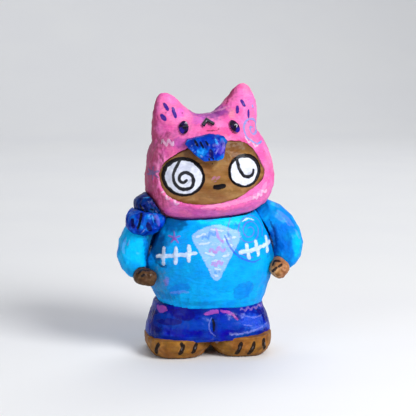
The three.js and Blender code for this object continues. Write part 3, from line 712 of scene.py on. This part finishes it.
def make_forelock():
    c = Clay("forelock", 0.24, 8, seed=41)
    c.lumps(0.42, 0.1, 3.6, 1.6)
    for path in ([(-9, 93.8), (-8, 91), (-8.2, 88)], [(0.8, 94.6), (0.4, 91.4), (-1, 88.4)]):
        c.groove(path, 1.4, 0.28)
    c.groove([(-5.4, 94.6), (-4.6, 90.5), (-4.8, 87)], 2, -0.4)
    c.coat(NIGHT, (0, 26, 140), (0, 96, 214), size=3)
    c.dabs(60, HAIR_TONES, 4.4, 1, 0.75, 0.03)
    c.glaze(np.ones(len(c.co)), (0, 34, 120), 0.25)
    c.patches(((-6.6, 89.6), (2.4, 1.8), (20, 124, 224), 0.75),
        ((0.6, 91), (2, 3.4), (88, 78, 190), 0.7), ((-10.8, 92.6), (2, 1.6), (24, 26, 124), 0.7))
    c.oval("navy", (-3, 88.8), (0.95, 2.1), 8)
    c.marks(("black", [(-9.4, 93.9), (-8.4, 91.9)], 0.55, 0.2),
        ("black", [(-7.2, 93.3), (-6.2, 91.2)], 0.5, 0.2),
        ("black", [(-5, 93.6), (-4.2, 92.2)], 0.45, 0.2),
        ("black", [(-4, 86.7), (-3.8, 86.2)], 0.4, 0.1),
        ("black", [(-2.2, 86.8), (-2, 86.2)], 0.4, 0.1),
        ("cyan", [(-0.9, 94.6), (-0.2, 92.6)], 0.5, 0.4),
        ("cyan", [(-8.6, 89.8), (-7, 88.9), (-6, 90)], 0.5, 0.4),
        ("pale", [(-7.6, 88), (-6.8, 87.4)], 0.3, 0.3), ("pale", [(-1, 88.6), (0.2, 90.8)], 0.28, 0.4))
    for x, z in ((-11.6, 90.8), (-10.6, 90), (-9.8, 89.2), (-11, 91.8)):
        c.mark("pale", [(x, z), (x + 0.25, z + 0.15)], 0.22, 0)
    c.mark("violet", [(1.8, 94.6), (2.4, 91.6), (1, 88.6)], 0.6, 0.5)
    c.measure()
    c.build("painted_forelock", "head", hair_paint("paint_forelock"))


def make_lock(node, name, seed, grooves, ridges, strokes, shade=0):
    c = Clay(node, 0.27, 8, seed=seed)
    c.lumps(0.5, 0.16, 3.4, 1.6)
    for path in grooves:
        c.groove(path, 1.3, 1.2)
    for path in ridges:
        c.groove(path, 1.3, -0.3)
    c.coat(NIGHT, (0, 74, 176), (0, 14, 116), (0, 96, 214), size=3.5)
    c.dabs(100, HAIR_TONES, 4.2, 0.9, 0.7, 0.04)
    c.glaze(np.ones(len(c.co)), (0, 14, 58), shade)
    for ink, path, half in strokes:
        c.mark(ink, path, half, 0.35)
    c.measure()
    c.build(name, "torso", hair_paint("paint_" + name))


# ---------------------------------------------------------------- the sweater
CYAN = (0, 156, 238)
CYAN_TONES = [(0, 184, 250), (0, 140, 228), (20, 168, 240), (0, 126, 214), (30, 180, 246),
    (0, 160, 236)]
CLOTH_INKS = [("scuff", (112, 124, 158), 0.6, 0.2, 0.6, 0.5),
    ("deep", (0, 118, 222), 0.72, 0.5, 0.3, 0.4), ("crease", (0, 44, 112), 0.85, 0.3, 0.3, 0.4),
    ("lilac", (136, 134, 232), 0.62, 0.3, 0.6, 0.4)]


def make_sweater():
    c = Clay("torso_shell", 0.4, 10, seed=51)
    c.calm = 1 - smooth(*COLLAR_CALM, c.co[:, 2])
    outer = smooth(-0.1, 0.3, ((c.co - np.array([-0.6, 1.1, 42])) * c.normal).sum(axis=1))
    c.lumps(0.25, 0.15)
    c.shift((1.5, 0, 0), outer * smooth(0.2, 0.9, -c.normal[:, 0]) * (1 - smooth(22, 34, c.co[:, 2])))
    c.shift((0, 0, -0.35), 1 - smooth(22.2, 24, c.co[:, 2]))
    hem = smooth(0.2, 0.7, np.hypot(c.normal[:, 0], c.normal[:, 1])) * outer
    c.push(0.25 * hem * bump(c.co[:, 2] - 25.5, 2.5) - 0.2 * hem * bump(c.co[:, 2] - 30, 2.5))
    c.groove([(-24.5, 41.5), (-22, 40), (-20.6, 40.6)], 0.8, 0.35)
    c.groove([(-27, 46), (-25.2, 42)], 1, 0.35)
    c.coat(CYAN, (0, 172, 244), (0, 142, 226), (24, 162, 232), size=9)
    c.dabs(260, CYAN_TONES, 7.5, 1.4, 0.45, 0.08)
    c.dabs(120, CYAN_TONES, 4, 0.7, 0.5, 0.08)
    # Painted light and shade among these: the two dark patches under the hood's chin at the left are
    # partly the toy's own dark paint and partly painted shadow; the chest is painted darker at the left
    # and lighter at the right as shade and light; both armpit creases get dark painted shade; the bright
    # band under the chin is painted light against the hood's shadow.
    c.patches(((-17.5, 58.6), (6, 4.6), (0, 58, 118), 0.75), ((-21, 54), (5, 5), (0, 84, 160), 0.55),
        ((0, 40), (17, 13), (0, 166, 240), 0.4), ((-13, 38), (8, 8), (0, 136, 214), 0.4),
        ((10, 36), (8, 9), (0, 178, 250), 0.35), ((-24.5, 48.5), (3.8, 8), (0, 44, 104), 0.8),
        ((25.5, 49), (3, 8), (0, 78, 168), 0.55), ((3, 60.6), (14, 4.2), (44, 206, 255), 0.95),
        ((-2.6, 60.4), (2.6, 1.4), (96, 124, 232), 0.5), ((-23.5, 33), (3.6, 8), (92, 128, 166), 0.5),
        ((-21, 33.5), (1.2, 2.4), (150, 104, 180), 0.5), ((-22, 26.5), (6, 2), (0, 96, 170), 0.5),
        ((-7, 24), (9, 1.2), (0, 120, 176), 0.4))
    c.glaze(1 - outer, (196, 200, 206), 0.9)

    # the painted emblem, a plain kite
    c.area("chalk", [(-10.4, 53.6), (-8.6, 55.4), (-0.4, 58), (8.4, 55.4), (10.2, 53.6), (9.4, 50.8),
        (4.4, 42), (1.2, 35.6), (-0.4, 34.6), (-2, 35.6), (-5.2, 42), (-9.8, 50.8)], wobble=0.35)
    for path in ([(-8.8, 53.2), (-4, 54.6)], [(-7.6, 50.2), (-3, 50.8)], [(2.6, 52), (8.2, 52.8)],
            [(-2.6, 56.2), (2.8, 55.6)], [(-5.4, 46.6), (-1.6, 45.6)], [(2, 44.8), (4.8, 45.8)],
            [(-2.8, 42.8), (0, 43.6)], [(-1.8, 39.8), (1.6, 39.4)], [(-1.2, 36.8), (0.6, 36.4)],
            [(4.4, 49.2), (6.8, 49.4)]):
        c.mark("thread", path, 0.5, 0.5, 0.45, relief=0.06)
    c.marks(("dab_blue", wavy((-6.2, 52.6), (-0.6, 55), 2, 0.8), 0.5, 0.3, 0.25),
        ("dab_blue", [(4.9, 54.4), (6, 52.4)], 0.75, 0.3, 0.25),
        ("dab_pink", [(-0.2, 56.4), (0.6, 53), (2.6, 50.8)], 0.6, 0.4, 0.25),
        ("dab_pink", wavy((-3.4, 47.2), (3.2, 48.2), 2, 0.9), 0.62, 0.3, 0.25),
        ("dab_pink", wavy((-2.4, 41.6), (2.2, 42.4), 2, 0.8), 0.6, 0.3, 0.25),
        ("dab_blue", [(-1.2, 38.6), (-0.7, 37.8)], 0.5, 0.2, 0.2),
        ("dab_blue", [(0.5, 38.9), (0.9, 38.1)], 0.45, 0.2, 0.2))

    # two rows of painted stitches
    for rows in ([[(-24.6, 44.3), (-17, 45.4), (-9.2, 46.6)], [(-22, 48), (-22.3, 41.4)],
            [(-17.2, 48.5), (-17.5, 42.3)], [(-11.8, 49.4), (-12.1, 43.2)]],
            [[(9.8, 46.3), (16.5, 47), (24.2, 48.9)], [(12.8, 49.2), (13.8, 43.6)],
            [(17, 50.4), (18.2, 44.6)], [(22.4, 51.2), (22.8, 45.4)]]):
        for path in rows:
            c.mark("thread", path, 0.88, 0.1, 0.3, relief=0.16)
    for angle in range(90, 450, 72):
        dx, dz = math.cos(math.radians(angle)), math.sin(math.radians(angle))
        c.mark("magenta", [(-17.6, 52.6), (-17.6 + 2.5 * dx, 52.6 + 2.5 * dz)], 0.42, 0.5, 0.12)
    c.mark("violet", spiral((14.6, 54.8), 1.2, 6.4, 120, -2.4, 1), 0.26, 0.1, 0.08, relief=0.02)
    c.mark("violet", [(6.8, 61), (5.2, 57.5), (5.2, 53.5), (6.9, 49.2), (10.4, 45.6), (15.6, 43.6)],
        0.26, 0.2, 0.08, relief=0.02)
    c.mark("indigo", [(3.2, 53.6), (5.6, 48.6), (9.6, 44.4), (15.2, 41.9), (19.4, 42.6)], 0.44, 0.3,
        0.1, relief=0.02)
    c.mark("thread", [(11.6, 58.6), (14.2, 59.6), (17.4, 58.6)], 0.34, 0.5, 0.3, relief=0.03)
    c.oval("deep", (11.8, 29.4), (4.9, 3.5), 28, wobble=0.5)
    c.oval("deep", (-15.6, 30.6), (4.4, 2.5), 24, wobble=0.6)
    c.mark("lilac", [(-19, 28.6), (-15, 29.4), (-12, 29.2)], 0.7, 0.5, 0.4)
    for k in range(26):
        x, z = c.rng.uniform(-25.4, -21.6), c.rng.uniform(26.5, 40)
        dx, dz = c.rng.uniform(-1.6, 1.6), c.rng.uniform(-1.8, 1.8)
        c.mark("scuff", [(x, z), (x + 0.6 * dx + 0.3, z + 0.3 * dz), (x + dx, z + dz)], 0.2, 0.3, 0.1,
            relief=0.03)
    c.mark("crease", [(-24.8, 41.6), (-23, 40.2), (-21, 39.9)], 0.34, 0.5, 0.2, relief=0)
    c.mark("crease", [(-22.4, 41), (-20.9, 40.6)], 0.26, 0.5, 0.15, relief=0)
    c.mark("crease", [(-16.6, 60.8), (-13.6, 59.6), (-11.6, 59.8)], 0.4, 0.5, 0.25, relief=0)

    for centre, radii, tilt in (((-13, 45), (5.2, 3.4), 20), ((12, 34), (4.4, 3), -25),
            ((4, 52), (3.6, 2.4), 10)):
        c.oval("deep", centre, radii, tilt, BACK, 0.5)
    c.marks(("violet", spiral((-8, 34), 1, 5, 40, 2.1), 0.3, 0.1, 0.08, BACK, 0.02),
        ("lilac", [(8, 57), (14, 54), (19, 49)], 0.8, 0.5, 0.4, BACK))
    for path in ([(-3, 43.6), (5, 45), (13.6, 45.4)], [(-0.6, 46.6), (-0.2, 41.4)],
            [(3.2, 47.4), (3.7, 42.2)], [(7, 47.8), (7.4, 42.8)], [(10.8, 48), (11.2, 42.8)]):
        c.mark("thread", path, 0.7, 0.25, 0.22, BACK, 0.1)
    c.measure()
    material = brushed("paint_blue_sweater",
        [*CLOTH_INKS, ("violet", (104, 84, 206), 0.85, 0.08, 0.35, 0.4),
        ("magenta", (150, 52, 176), 0.85, 0.14, 0.35, 0.4),
        ("thread", (222, 232, 250), 0.94, 0.22, 0.3, 0.55),
        ("chalk", (196, 216, 248), 0.9, 0.42, 0.5, 0.6),
        ("indigo", (52, 78, 214), 0.85, 0.1, 0.3, 0.4),
        ("dab_pink", (204, 104, 210), 0.9, 0.28, 0.5, 0.5),
        ("dab_blue", (34, 130, 226), 0.85, 0.28, 0.45, 0.5)], streak=(0.4, 0.4, 1.2), gloss=0.4,
        depth=0.15, coat=0.1)
    c.build("painted_sweater", "torso", material)


def make_sleeve(node, name, body, seed, hollow, ridges, inks, patches, tone):
    c = Clay(node, 0.3, 8, seed=seed)
    c.calm = 1 - smooth(*SHOULDER_CALM, c.co[:, 2])
    inward = -1 if body == "right_arm" else 1
    c.shift((SLEEVE_FILL * inward, 0, 0), smooth(0.1, 0.7, inward * c.normal[:, 0]))
    c.lumps(0.2, 0.16, 7, 2.6)
    for centre, radii, depth in hollow:
        reach = np.hypot((c.co[:, 0] - centre[0]) / radii[0], (c.co[:, 2] - centre[1]) / radii[1])
        c.push(-depth * bump(reach, 1) * smooth(0, 0.5, -c.normal[:, 1]))
    for path, width, depth in ridges:
        c.groove(path, width, depth)
    c.coat(tone, (0, 170, 244), (0, 132, 220), size=6)
    c.dabs(150, CYAN_TONES, 6, 1, 0.42, 0.05, slope=(0.2, 0, 1))
    for centre, radii, colour, amount in patches:
        c.patch(centre, radii, colour, amount)
    for ink, path, half in inks:
        c.mark(ink, path, half, 0.5, 0.25, relief=0.03)
    c.mark("lilac", [(c.co[:, 0].mean() - 3, 52), (c.co[:, 0].mean(), 47)], 0.8, 0.5, 0.4, BACK)
    c.oval("deep", (c.co[:, 0].mean() + 1, 56), (3, 2.2), 30, BACK, 0.5)
    c.measure()
    material = brushed("paint_" + name, CLOTH_INKS, streak=(0.6, 0.5, 0.45), gloss=0.44, depth=0.08,
        coat=0.1)
    c.build(name, body, material)


HAND_TONES = [(150, 106, 70), (178, 134, 98), (110, 70, 44), (196, 150, 114), (126, 82, 50)]


def make_hand(node, name, body, seed, shade, fingers):
    c = Clay(node, 0.22, 6, seed=seed)
    c.push(np.full(len(c.co), HAND_SWELL))
    c.lumps(0.14, 0.14, 3.5, 1.4)
    for path in fingers:
        c.groove(path, 0.7, 0.22)
    # shade scales the browns: below 1 it paints shade, above 1 it paints light.
    tones = [[shade * v for v in tone] for tone in HAND_TONES]
    c.coat(*tones[:3], size=2.5)
    c.dabs(70, tones[1:], 2.6, 0.45, 0.5, 0.06)
    for path in fingers:
        c.mark("black", path, 0.62, 0.2, 0.15, relief=0)
    c.measure()
    c.build(name, body,
        brushed("paint_" + name, [("black", (26, 22, 26), 1, 0.14, 0.1, 0.3)], gloss=0.4, depth=0.08,
        coat=0.2))


# ---------------------------------------------------------------- shorts and feet
def make_shorts():
    c = Clay("shorts_shell", 0.38, 10, seed=71)
    wall = smooth(0.35, 0.8, np.hypot(c.normal[:, 0], c.normal[:, 1]))
    outer = wall * smooth(-0.1, 0.2, ((c.co - np.array([-0.6, 1.1, 15])) * c.normal).sum(axis=1))
    c.lumps(0.28, 0.16, 8, 3)
    c.shift((0, 0, 1.3), smooth(19.2, 20.8, c.co[:, 2]))
    c.shift((0, 0, -0.4), 1 - smooth(8.6, 10.4, c.co[:, 2]))
    middle = bump(c.co[:, 0] + 1.4, 7) * outer
    c.push(-0.7 * middle * smooth(20, 9, c.co[:, 2]))
    c.groove([(-1.5, 18), (-1, 14.6), (-1.2, 11.5), (-1.3, 8.4)], 1.7, 0.9)
    c.groove([(-1.5, 17), (-1.2, 13), (-1.2, 8.4)], 2, 0.9, BACK)
    c.groove([(-27, 11), (-20, 10), (-12, 9.9), (-5, 10.4)], 1.5, -0.4)
    c.groove([(3, 10.4), (10, 10.2), (18, 11.2), (24, 12)], 1.5, -0.4)
    c.coat((0, 26, 150), (0, 56, 168), (0, 8, 122), (10, 52, 176), size=7, stretch=(1.5, 1.2, 0.7))
    tones = [(0, 6, 150), (0, 74, 176), (0, 10, 108), (14, 60, 184), (4, 36, 160), (40, 86, 200),
        (0, 18, 100)]
    c.dabs(180, tones, 6.5, 1.2, 0.6, 0.08, slope=(1, 0.3, 0.1))
    c.dabs(80, tones, 3.5, 0.6, 0.6, 0.08)
    # Painted light and shade among these: the lighter patches at the right, at (15.6, 15.4) and (19,
    # 12), are painted highlight; the dark patch at the left edge is painted shade on the shorts' left
    # side.
    c.patches(((-10, 15.4), (11, 2.2), (22, 62, 168), 0.7), ((5, 17.5), (6, 2.6), (18, 50, 168), 0.6),
        ((15.6, 15.4), (6.5, 3.4), (60, 98, 206), 0.8), ((19, 12), (5, 1.6), (80, 112, 214), 0.65),
        ((-14, 11.6), (10, 1.8), (8, 0, 152), 0.7), ((8, 12), (6, 2), (12, 10, 146), 0.6),
        ((-25, 14.5), (2.6, 6), (34, 16, 70), 0.6), ((24.5, 17), (2.6, 4), (14, 12, 96), 0.6))
    c.glaze(1 - wall, (60, 62, 110), 0.5)
    c.area("royal", [(-25, 17.6), (-20, 18.8), (-12, 16.6), (-4, 18.6), (-3, 13.6), (-9, 12.6),
        (-17, 13.8), (-24.6, 13), (-26, 15)], wobble=0.6)
    c.area("royal", [(2, 19), (8, 17.8), (12.6, 13.4), (9, 12.4), (3, 13), (1.4, 16)], wobble=0.6)
    c.oval("navy", (-13.6, 19.4), (4.6, 2.5), -6)
    c.oval("navy", (-19.5, 15.8), (5.2, 1.3), 6)
    c.marks(("navy", [(7.2, 18.6), (9.8, 17.4)], 1, 0.4, 0.3),
        ("navy", [(19, 19), (21.4, 17.6)], 1, 0.4, 0.3),
        ("pink", [(-4.9, 19.7), (-2.6, 20), (0.6, 20.3)], 0.85, 0.3, 0.3),
        ("pink", [(2.2, 20.5), (5.4, 19.7), (7.6, 18.4), (9.2, 16.6)], 0.62, 0.4, 0.3))
    c.oval("pink", (-22.2, 20.4), (1.8, 1.4), 10, wobble=0.6)
    c.marks(("rose", wavy((10.8, 20.4), (21.8, 20.6), 4, 0.5), 0.5, 0.4, 0.4),
        ("rose", [(21.4, 21.2), (21.9, 19.6)], 0.4, 0.3, 0.25))
    c.mark("black", [(-1.5, 17.4), (-1, 14.6), (-1.1, 12)], 0.6, 0.6, 0.2, relief=0)
    # The second pale line, along the lower hem at the right, is a painted highlight.
    c.marks(("pale", [(-2, 17.8), (-3.3, 15), (-2.6, 12), (-0.6, 10)], 0.3, 0.3, 0.12),
        ("pale", [(6, 10.6), (12, 10.7), (18, 11.6), (24, 13)], 0.34, 0.5, 0.3),
        ("pale", [(13, 17.6), (17.5, 16.6), (21, 16.8)], 0.34, 0.5, 0.3),
        ("pale", [(12, 14.2), (16, 13.4)], 0.3, 0.5, 0.3),
        ("rust", [(-26.8, 13.5), (-25.4, 17.5), (-23.6, 21)], 0.22, 0.3, 0.12))
    c.oval("navy", (6, 16), (4.6, 2.4), 14, BACK)
    c.marks(("pink", [(-16, 18.8), (-10, 19.6)], 0.8, 0.3, 0.3, BACK),
        ("pale", [(-20, 12), (-12, 11)], 0.5, 0.5, 0.4, BACK))
    c.measure()
    material = brushed("paint_navy_shorts",
        [("royal", (0, 62, 176), 0.6, 0.45, 0.4, 0.3), ("navy", (12, 4, 118), 0.88, 0.35, 0.15, 0.3),
        ("pale", (146, 156, 236), 0.75, 0.2, 0.55, 0.35),
        ("rust", (140, 98, 120), 0.8, 0.12, 0.4, 0.4), ("rose", (196, 150, 214), 0.72, 0.3, 0.6, 0.4),
        ("pink", (206, 92, 190), 0.84, 0.3, 0.45, 0.4), ("black", (6, 4, 24), 1, 0.12, 0.05, 0.3)],
        streak=(0.35, 0.5, 1.5), gloss=0.32, depth=0.16, coat=0.18)
    c.build("painted_shorts", "torso", material)


def make_foot(node, name, seed, toes, extra=()):
    c = Clay(node, 0.33, 10, seed=seed)
    c.lumps(0.24, 0.16, 7, 2.6)
    c.shift((0, 0, 1), smooth(6, 7.2, c.co[:, 2]))
    inner = 1 if node == "left_foot" else -1
    join = smooth(2.6, 5, c.co[:, 2]) * (1 - smooth(2, 10, c.co[:, 1])) * bump(c.co[:, 0] + 1.3, 9)
    c.shift((1.6 * inner, 0, 0), smooth(0.1, 0.8, inner * c.normal[:, 0]) * join)
    for path in toes:
        c.groove(path, 1.1, 0.45)
    c.coat((148, 98, 48), (172, 120, 66), (116, 76, 38), (136, 94, 50), size=6, stretch=(1.2, 1, 0.7))
    tones = [(186, 136, 80), (124, 80, 38), (158, 108, 54), (104, 66, 36), (174, 120, 70),
        (142, 98, 54)]
    c.dabs(170, tones, 5, 0.9, 0.55, 0.09)
    c.glaze(smooth(1.6, 0.2, c.co[:, 2]), (92, 62, 50), 0.5)
    c.glaze(smooth(0.3, 0.95, np.abs(c.normal[:, 0])) * smooth(-6, 6, c.co[:, 1]), (104, 68, 46), 0.4)
    for path in toes:
        c.mark("black", path, 0.98, 0.15, 0.25, relief=0)
        top, foot = np.array(path[0]), np.array(path[-1])
        # A grey painted highlight runs along each black toe line.
        c.mark("grey", [top * 0.7 + foot * 0.3 + (0.3, 0), top * 0.4 + foot * 0.6 + (0.3, 0)], 0.24,
            0.4, 0.12, relief=0.03)
    for ink, path, half in extra:
        c.mark(ink, path, half, 0.4, 0.3)
    c.measure()
    material = brushed("paint_" + name,
        [("pale", (196, 186, 204), 0.8, 0.25, 0.6, 0.4), ("ochre", (196, 132, 62), 0.6, 0.3, 0.5, 0.4),
        ("black", (24, 19, 20), 1, 0.14, 0.08, 0.28), ("grey", (132, 128, 136), 0.7, 0.12, 0.5, 0.25)],
        streak=(0.5, 0.5, 1.2), gloss=0.42, depth=0.1, coat=0.12)
    c.build(name, "torso", material)


# ---------------------------------------------------------------- put together
make_hood()
make_hood_eye("hood_left_eye", "painted_hood_left_eye", 21, [(0.7, 1.5), (1.3, 2), (1.5, 1.4)],
    (-1.2, -1.2))
make_hood_eye("hood_right_eye", "painted_hood_right_eye", 22, [(-0.2, 0.5), (0.9, 0.7), (0.6, -0.4)],
    (1.2, -1.6))
make_hood_nose()
make_face()
make_eye("left_eye_disc", "painted_left_eye", 33, 7.25, (0.1, -0.1), LEFT_SWIRL)
make_eye("right_eye_disc", "painted_right_eye", 34, 6, (-0.35, -0.2), RIGHT_SWIRL)
make_forelock()
make_lock("hair_lock_upper", "painted_upper_lock", 43,
    [[(-30, 66), (-28.6, 62)], [(-26.4, 67), (-25.2, 63)]], [[(-28.4, 68), (-27.2, 64)]],
    [("black", [(-31.4, 66), (-30.2, 63.6), (-29.4, 62.4)], 0.5),
    ("black", [(-27.2, 64.4), (-25.6, 63.4)], 0.45), ("violet", [(-26.6, 66.8), (-24.4, 65)], 0.8),
    ("pale", [(-25.6, 64.6), (-23.6, 61.4)], 0.3), ("navy", [(-32.6, 65.4), (-32, 62.8)], 0.9),
    ("cyan", [(-29.6, 68.6), (-27.4, 68.9)], 0.5)], 0.65)
make_lock("hair_lock_lower", "painted_lower_lock", 44,
    [[(-31, 62.8), (-31.8, 59.5), (-33, 55.6)], [(-25.4, 60), (-25, 56)],
    [(-35, 60.6), (-35.2, 57.4)]], [[(-28.4, 61), (-28, 56.6)]],
    [("black", [(-31, 62.6), (-31.8, 59.5), (-32.8, 56.2)], 0.75),
    ("navy", [(-34.8, 60.2), (-34.6, 57)], 0.9), ("navy", [(-28.6, 58.4), (-27.4, 55.4)], 1.1),
    ("pale", [(-29.8, 56), (-31.2, 54.2)], 0.34), ("violet", [(-24.6, 61.4), (-23.8, 57.6)], 0.9),
    ("cyan", [(-26.6, 61.6), (-26, 58.6)], 0.4)])
make_sweater()
make_sleeve("left_sleeve", "painted_left_sleeve", "left_arm", 61, [((-28.2, 47), (4, 12), 0.5)],
    [([(-37.8, 52), (-39.2, 46), (-37, 39)], 1.6, -0.25)],
    [("lilac", [(-37.2, 51.4), (-38.6, 47.4), (-38.2, 45)], 0.8),
    ("lilac", [(-36, 50.6), (-36.8, 48.4)], 0.4),
    # Painted shade: the deep line darkens the sleeve's inner side next to the sweater.
    ("deep", [(-29.6, 53), (-28.6, 46), (-29, 41.4)], 0.9)],
    # The bright bulge patch is partly the sleeve's lighter paint and partly painted highlight; the dark
    # navy patch is painted shade in the crease by the sweater.
    [((-33.5, 47.5), (7, 10), (0, 188, 248), 0.85), ((-34, 38), (4.5, 3.5), (0, 140, 216), 0.5),
    ((-27.2, 48), (2.4, 10), (0, 52, 112), 0.85), ((-30.5, 57), (4, 3), (0, 96, 190), 0.45)],
    (0, 172, 240))
make_sleeve("right_sleeve", "painted_right_sleeve", "right_arm", 62, [((29.6, 51), (5.5, 12), 1.1)],
    [([(25, 62.4), (31, 60.4), (36, 54.8), (38.6, 47)], 2, -0.45),
    ([(24.6, 58.4), (27, 52), (28.2, 45)], 1.2, 0.35),
    ([(30.6, 57), (32.6, 50), (32.4, 44)], 1.2, 0.22)],
    [("lilac", [(28.6, 61.6), (32.4, 58.6), (35.4, 55)], 0.95),
    ("lilac", [(36.2, 53.4), (38, 49.4)], 0.5), ("lilac", [(30.4, 59), (33.6, 55.2)], 0.34),
    # Painted shade: the deep line darkens the hollow, and the crease line the crease by the sweater.
    ("deep", [(27.6, 56.4), (30, 50), (30.4, 44.6)], 1.1),
    ("crease", [(24.6, 58.2), (26.8, 53.4), (28, 48.4)], 0.5)],
    # The first three patches are painted shade in the hollow and its crease; the bright cyan patch on
    # the outer ridge is a painted highlight.
    [((29, 51), (4.6, 9), (0, 116, 216), 0.75), ((27, 49), (2, 8), (0, 78, 168), 0.6),
    ((33.6, 45), (3.2, 6), (0, 112, 208), 0.6), ((36.6, 47), (2.2, 6), (0, 190, 252), 0.7),
    ((34, 55.6), (3.4, 3.4), (16, 128, 224), 0.7)], (0, 136, 224))
# Painted shade: the left hand's browns are darkened to 0.56.
make_hand("left_hand", "painted_left_hand", "left_arm", 63, 0.56,
    [[(-32.8, 37.4), (-31.2, 38.6), (-29.8, 38.4)], [(-28.8, 38.4), (-27, 38.8)],
    [(-31.4, 36.4), (-30.6, 37)]])
# Painted light: the right hand's browns are lightened to 1.12.
make_hand("right_hand", "painted_right_hand", "right_arm", 64, 1.12,
    [[(25.2, 39.2), (26.2, 40.8), (28, 41)], [(24.9, 36.6), (26.4, 38.2)],
    [(27.6, 38.8), (28.6, 39.6)]])
make_shorts()
make_foot("left_foot", "painted_left_foot", 72,
    [[(-24.4, 7), (-25.3, 5), (-25.4, 2.2)], [(-15.2, 7.2), (-14.6, 6), (-15.8, 2.8)],
    [(-8.8, 6.8), (-9.4, 5.4), (-10.2, 3.4)]])
make_foot("right_foot", "painted_right_foot", 73,
    [[(10.4, 6.8), (9.8, 4.6), (8.8, 2)], [(16, 6.6), (15.4, 4.2), (14.2, 1.8)],
    [(20.6, 7.6), (20.4, 5.4), (21.4, 3.2)]],
    [("pale", [(-0.2, 8.4), (0.8, 6.6)], 1), ("ochre", [(2.6, 8.8), (4.4, 6.4)], 0.5)])
bare = moulded("bare_white_vinyl", (205, 206, 208))
# The shoulder plugs show between the sleeves and the sweater.
dyed = moulded("blue_shoulder_vinyl", (0, 78, 150))
for plug, material in (("neck_plug", bare), ("waist_plug", bare), ("left_shoulder_plug", dyed),
        ("right_shoulder_plug", dyed)):
    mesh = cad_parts[plug].data
    mesh.materials.clear()
    mesh.materials.append(material)


# ---------------------------------------------------------------- floor, lights, camera
def make_floor():
    """A plain pale floor that curves up into a backdrop."""
    s = Shader("pale_floor")
    mottle = s.speckle((0.01, 0.01, 0.01), 2.0)
    tone = s.mix(s.remap(mottle, 0.3, 0.7), (*srgb(238, 239, 241), 1), (*srgb(236, 237, 240), 1))
    material = s.finish(tone, s.remap(mottle, 0.3, 0.7, 0.6, 0.7), mottle, 0.02, 0.0)
    angles = np.linspace(0, math.pi / 2, 25)
    near, far, bend, top = -9.0, 0.9, 0.5, 2.4
    profile = [(near, 0.0), *[(far + bend * math.sin(a), bend * (1 - math.cos(a))) for a in angles],
        (far + bend, top)]
    b = bmesh.new()
    rows = [[b.verts.new((x, y, z)) for y, z in profile] for x in (-2.5, 2.5)]
    for k in range(len(profile) - 1):
        b.faces.new((rows[0][k], rows[1][k], rows[1][k + 1], rows[0][k + 1])).smooth = True
    mesh = bpy.data.meshes.new("floor")
    b.to_mesh(mesh)
    b.free()
    mesh.materials.append(material)
    floor = bpy.data.objects.new("floor", mesh)
    bpy.context.scene.collection.objects.link(floor)


def make_light(name, azimuth, elevation, distance, size, watts, tint, target=(0, 0, 0.06)):
    target = Vector(target)
    a, e = math.radians(azimuth), math.radians(elevation)
    away = Vector((math.sin(a) * math.cos(e), -math.cos(a) * math.cos(e), math.sin(e)))
    light = bpy.data.lights.new(name, "AREA")
    light.shape, light.size, light.energy, light.color = "DISK", size, watts, tint
    lamp = bpy.data.objects.new(name, light)
    lamp.location = target + away * distance
    lamp.rotation_euler = (-away).to_track_quat("-Z", "Y").to_euler()
    bpy.context.scene.collection.objects.link(lamp)


def make_camera():
    azimuth, elevation, distance = math.radians(-8.5), math.radians(8.5), 0.6
    target, focal_pixels, image_pixels, sensor = Vector((-0.0007, 0.0011, 0.0623)), 1380.0, 416.0, 36.0
    back = Vector((math.sin(azimuth) * math.cos(elevation), -math.cos(azimuth) * math.cos(elevation),
        math.sin(elevation)))
    data = bpy.data.cameras.new("camera")
    data.sensor_width, data.lens = sensor, focal_pixels / image_pixels * sensor
    data.clip_start, data.clip_end = 0.01, 20.0
    camera = bpy.data.objects.new("camera", data)
    camera.location = target + back * distance
    camera.rotation_euler = (-back).to_track_quat("-Z", "Y").to_euler()
    bpy.context.scene.collection.objects.link(camera)
    bpy.context.scene.camera = camera


make_floor()
make_light("key", 36, 34, 0.9, 0.45, 8.2, (1.0, 0.99, 0.97))
make_light("fill", -50, 18, 1.0, 0.7, 2.0, (0.92, 0.96, 1.0))
make_light("rim", 150, 45, 1.0, 0.5, 1.6, (1.0, 1.0, 1.0))
make_light("backdrop_wash", 0, 50, 1.1, 0.9, 6.0, (1.0, 1.0, 1.0), target=(0, 1.3, 0.5))
world = bpy.data.worlds.new("studio")
world.use_nodes = True
world.node_tree.nodes["Background"].inputs["Color"].default_value = (0.92, 0.95, 1.0, 1.0)
world.node_tree.nodes["Background"].inputs["Strength"].default_value = 0.2
bpy.context.scene.world = world
bpy.context.scene.view_settings.view_transform = "Standard"
make_camera()
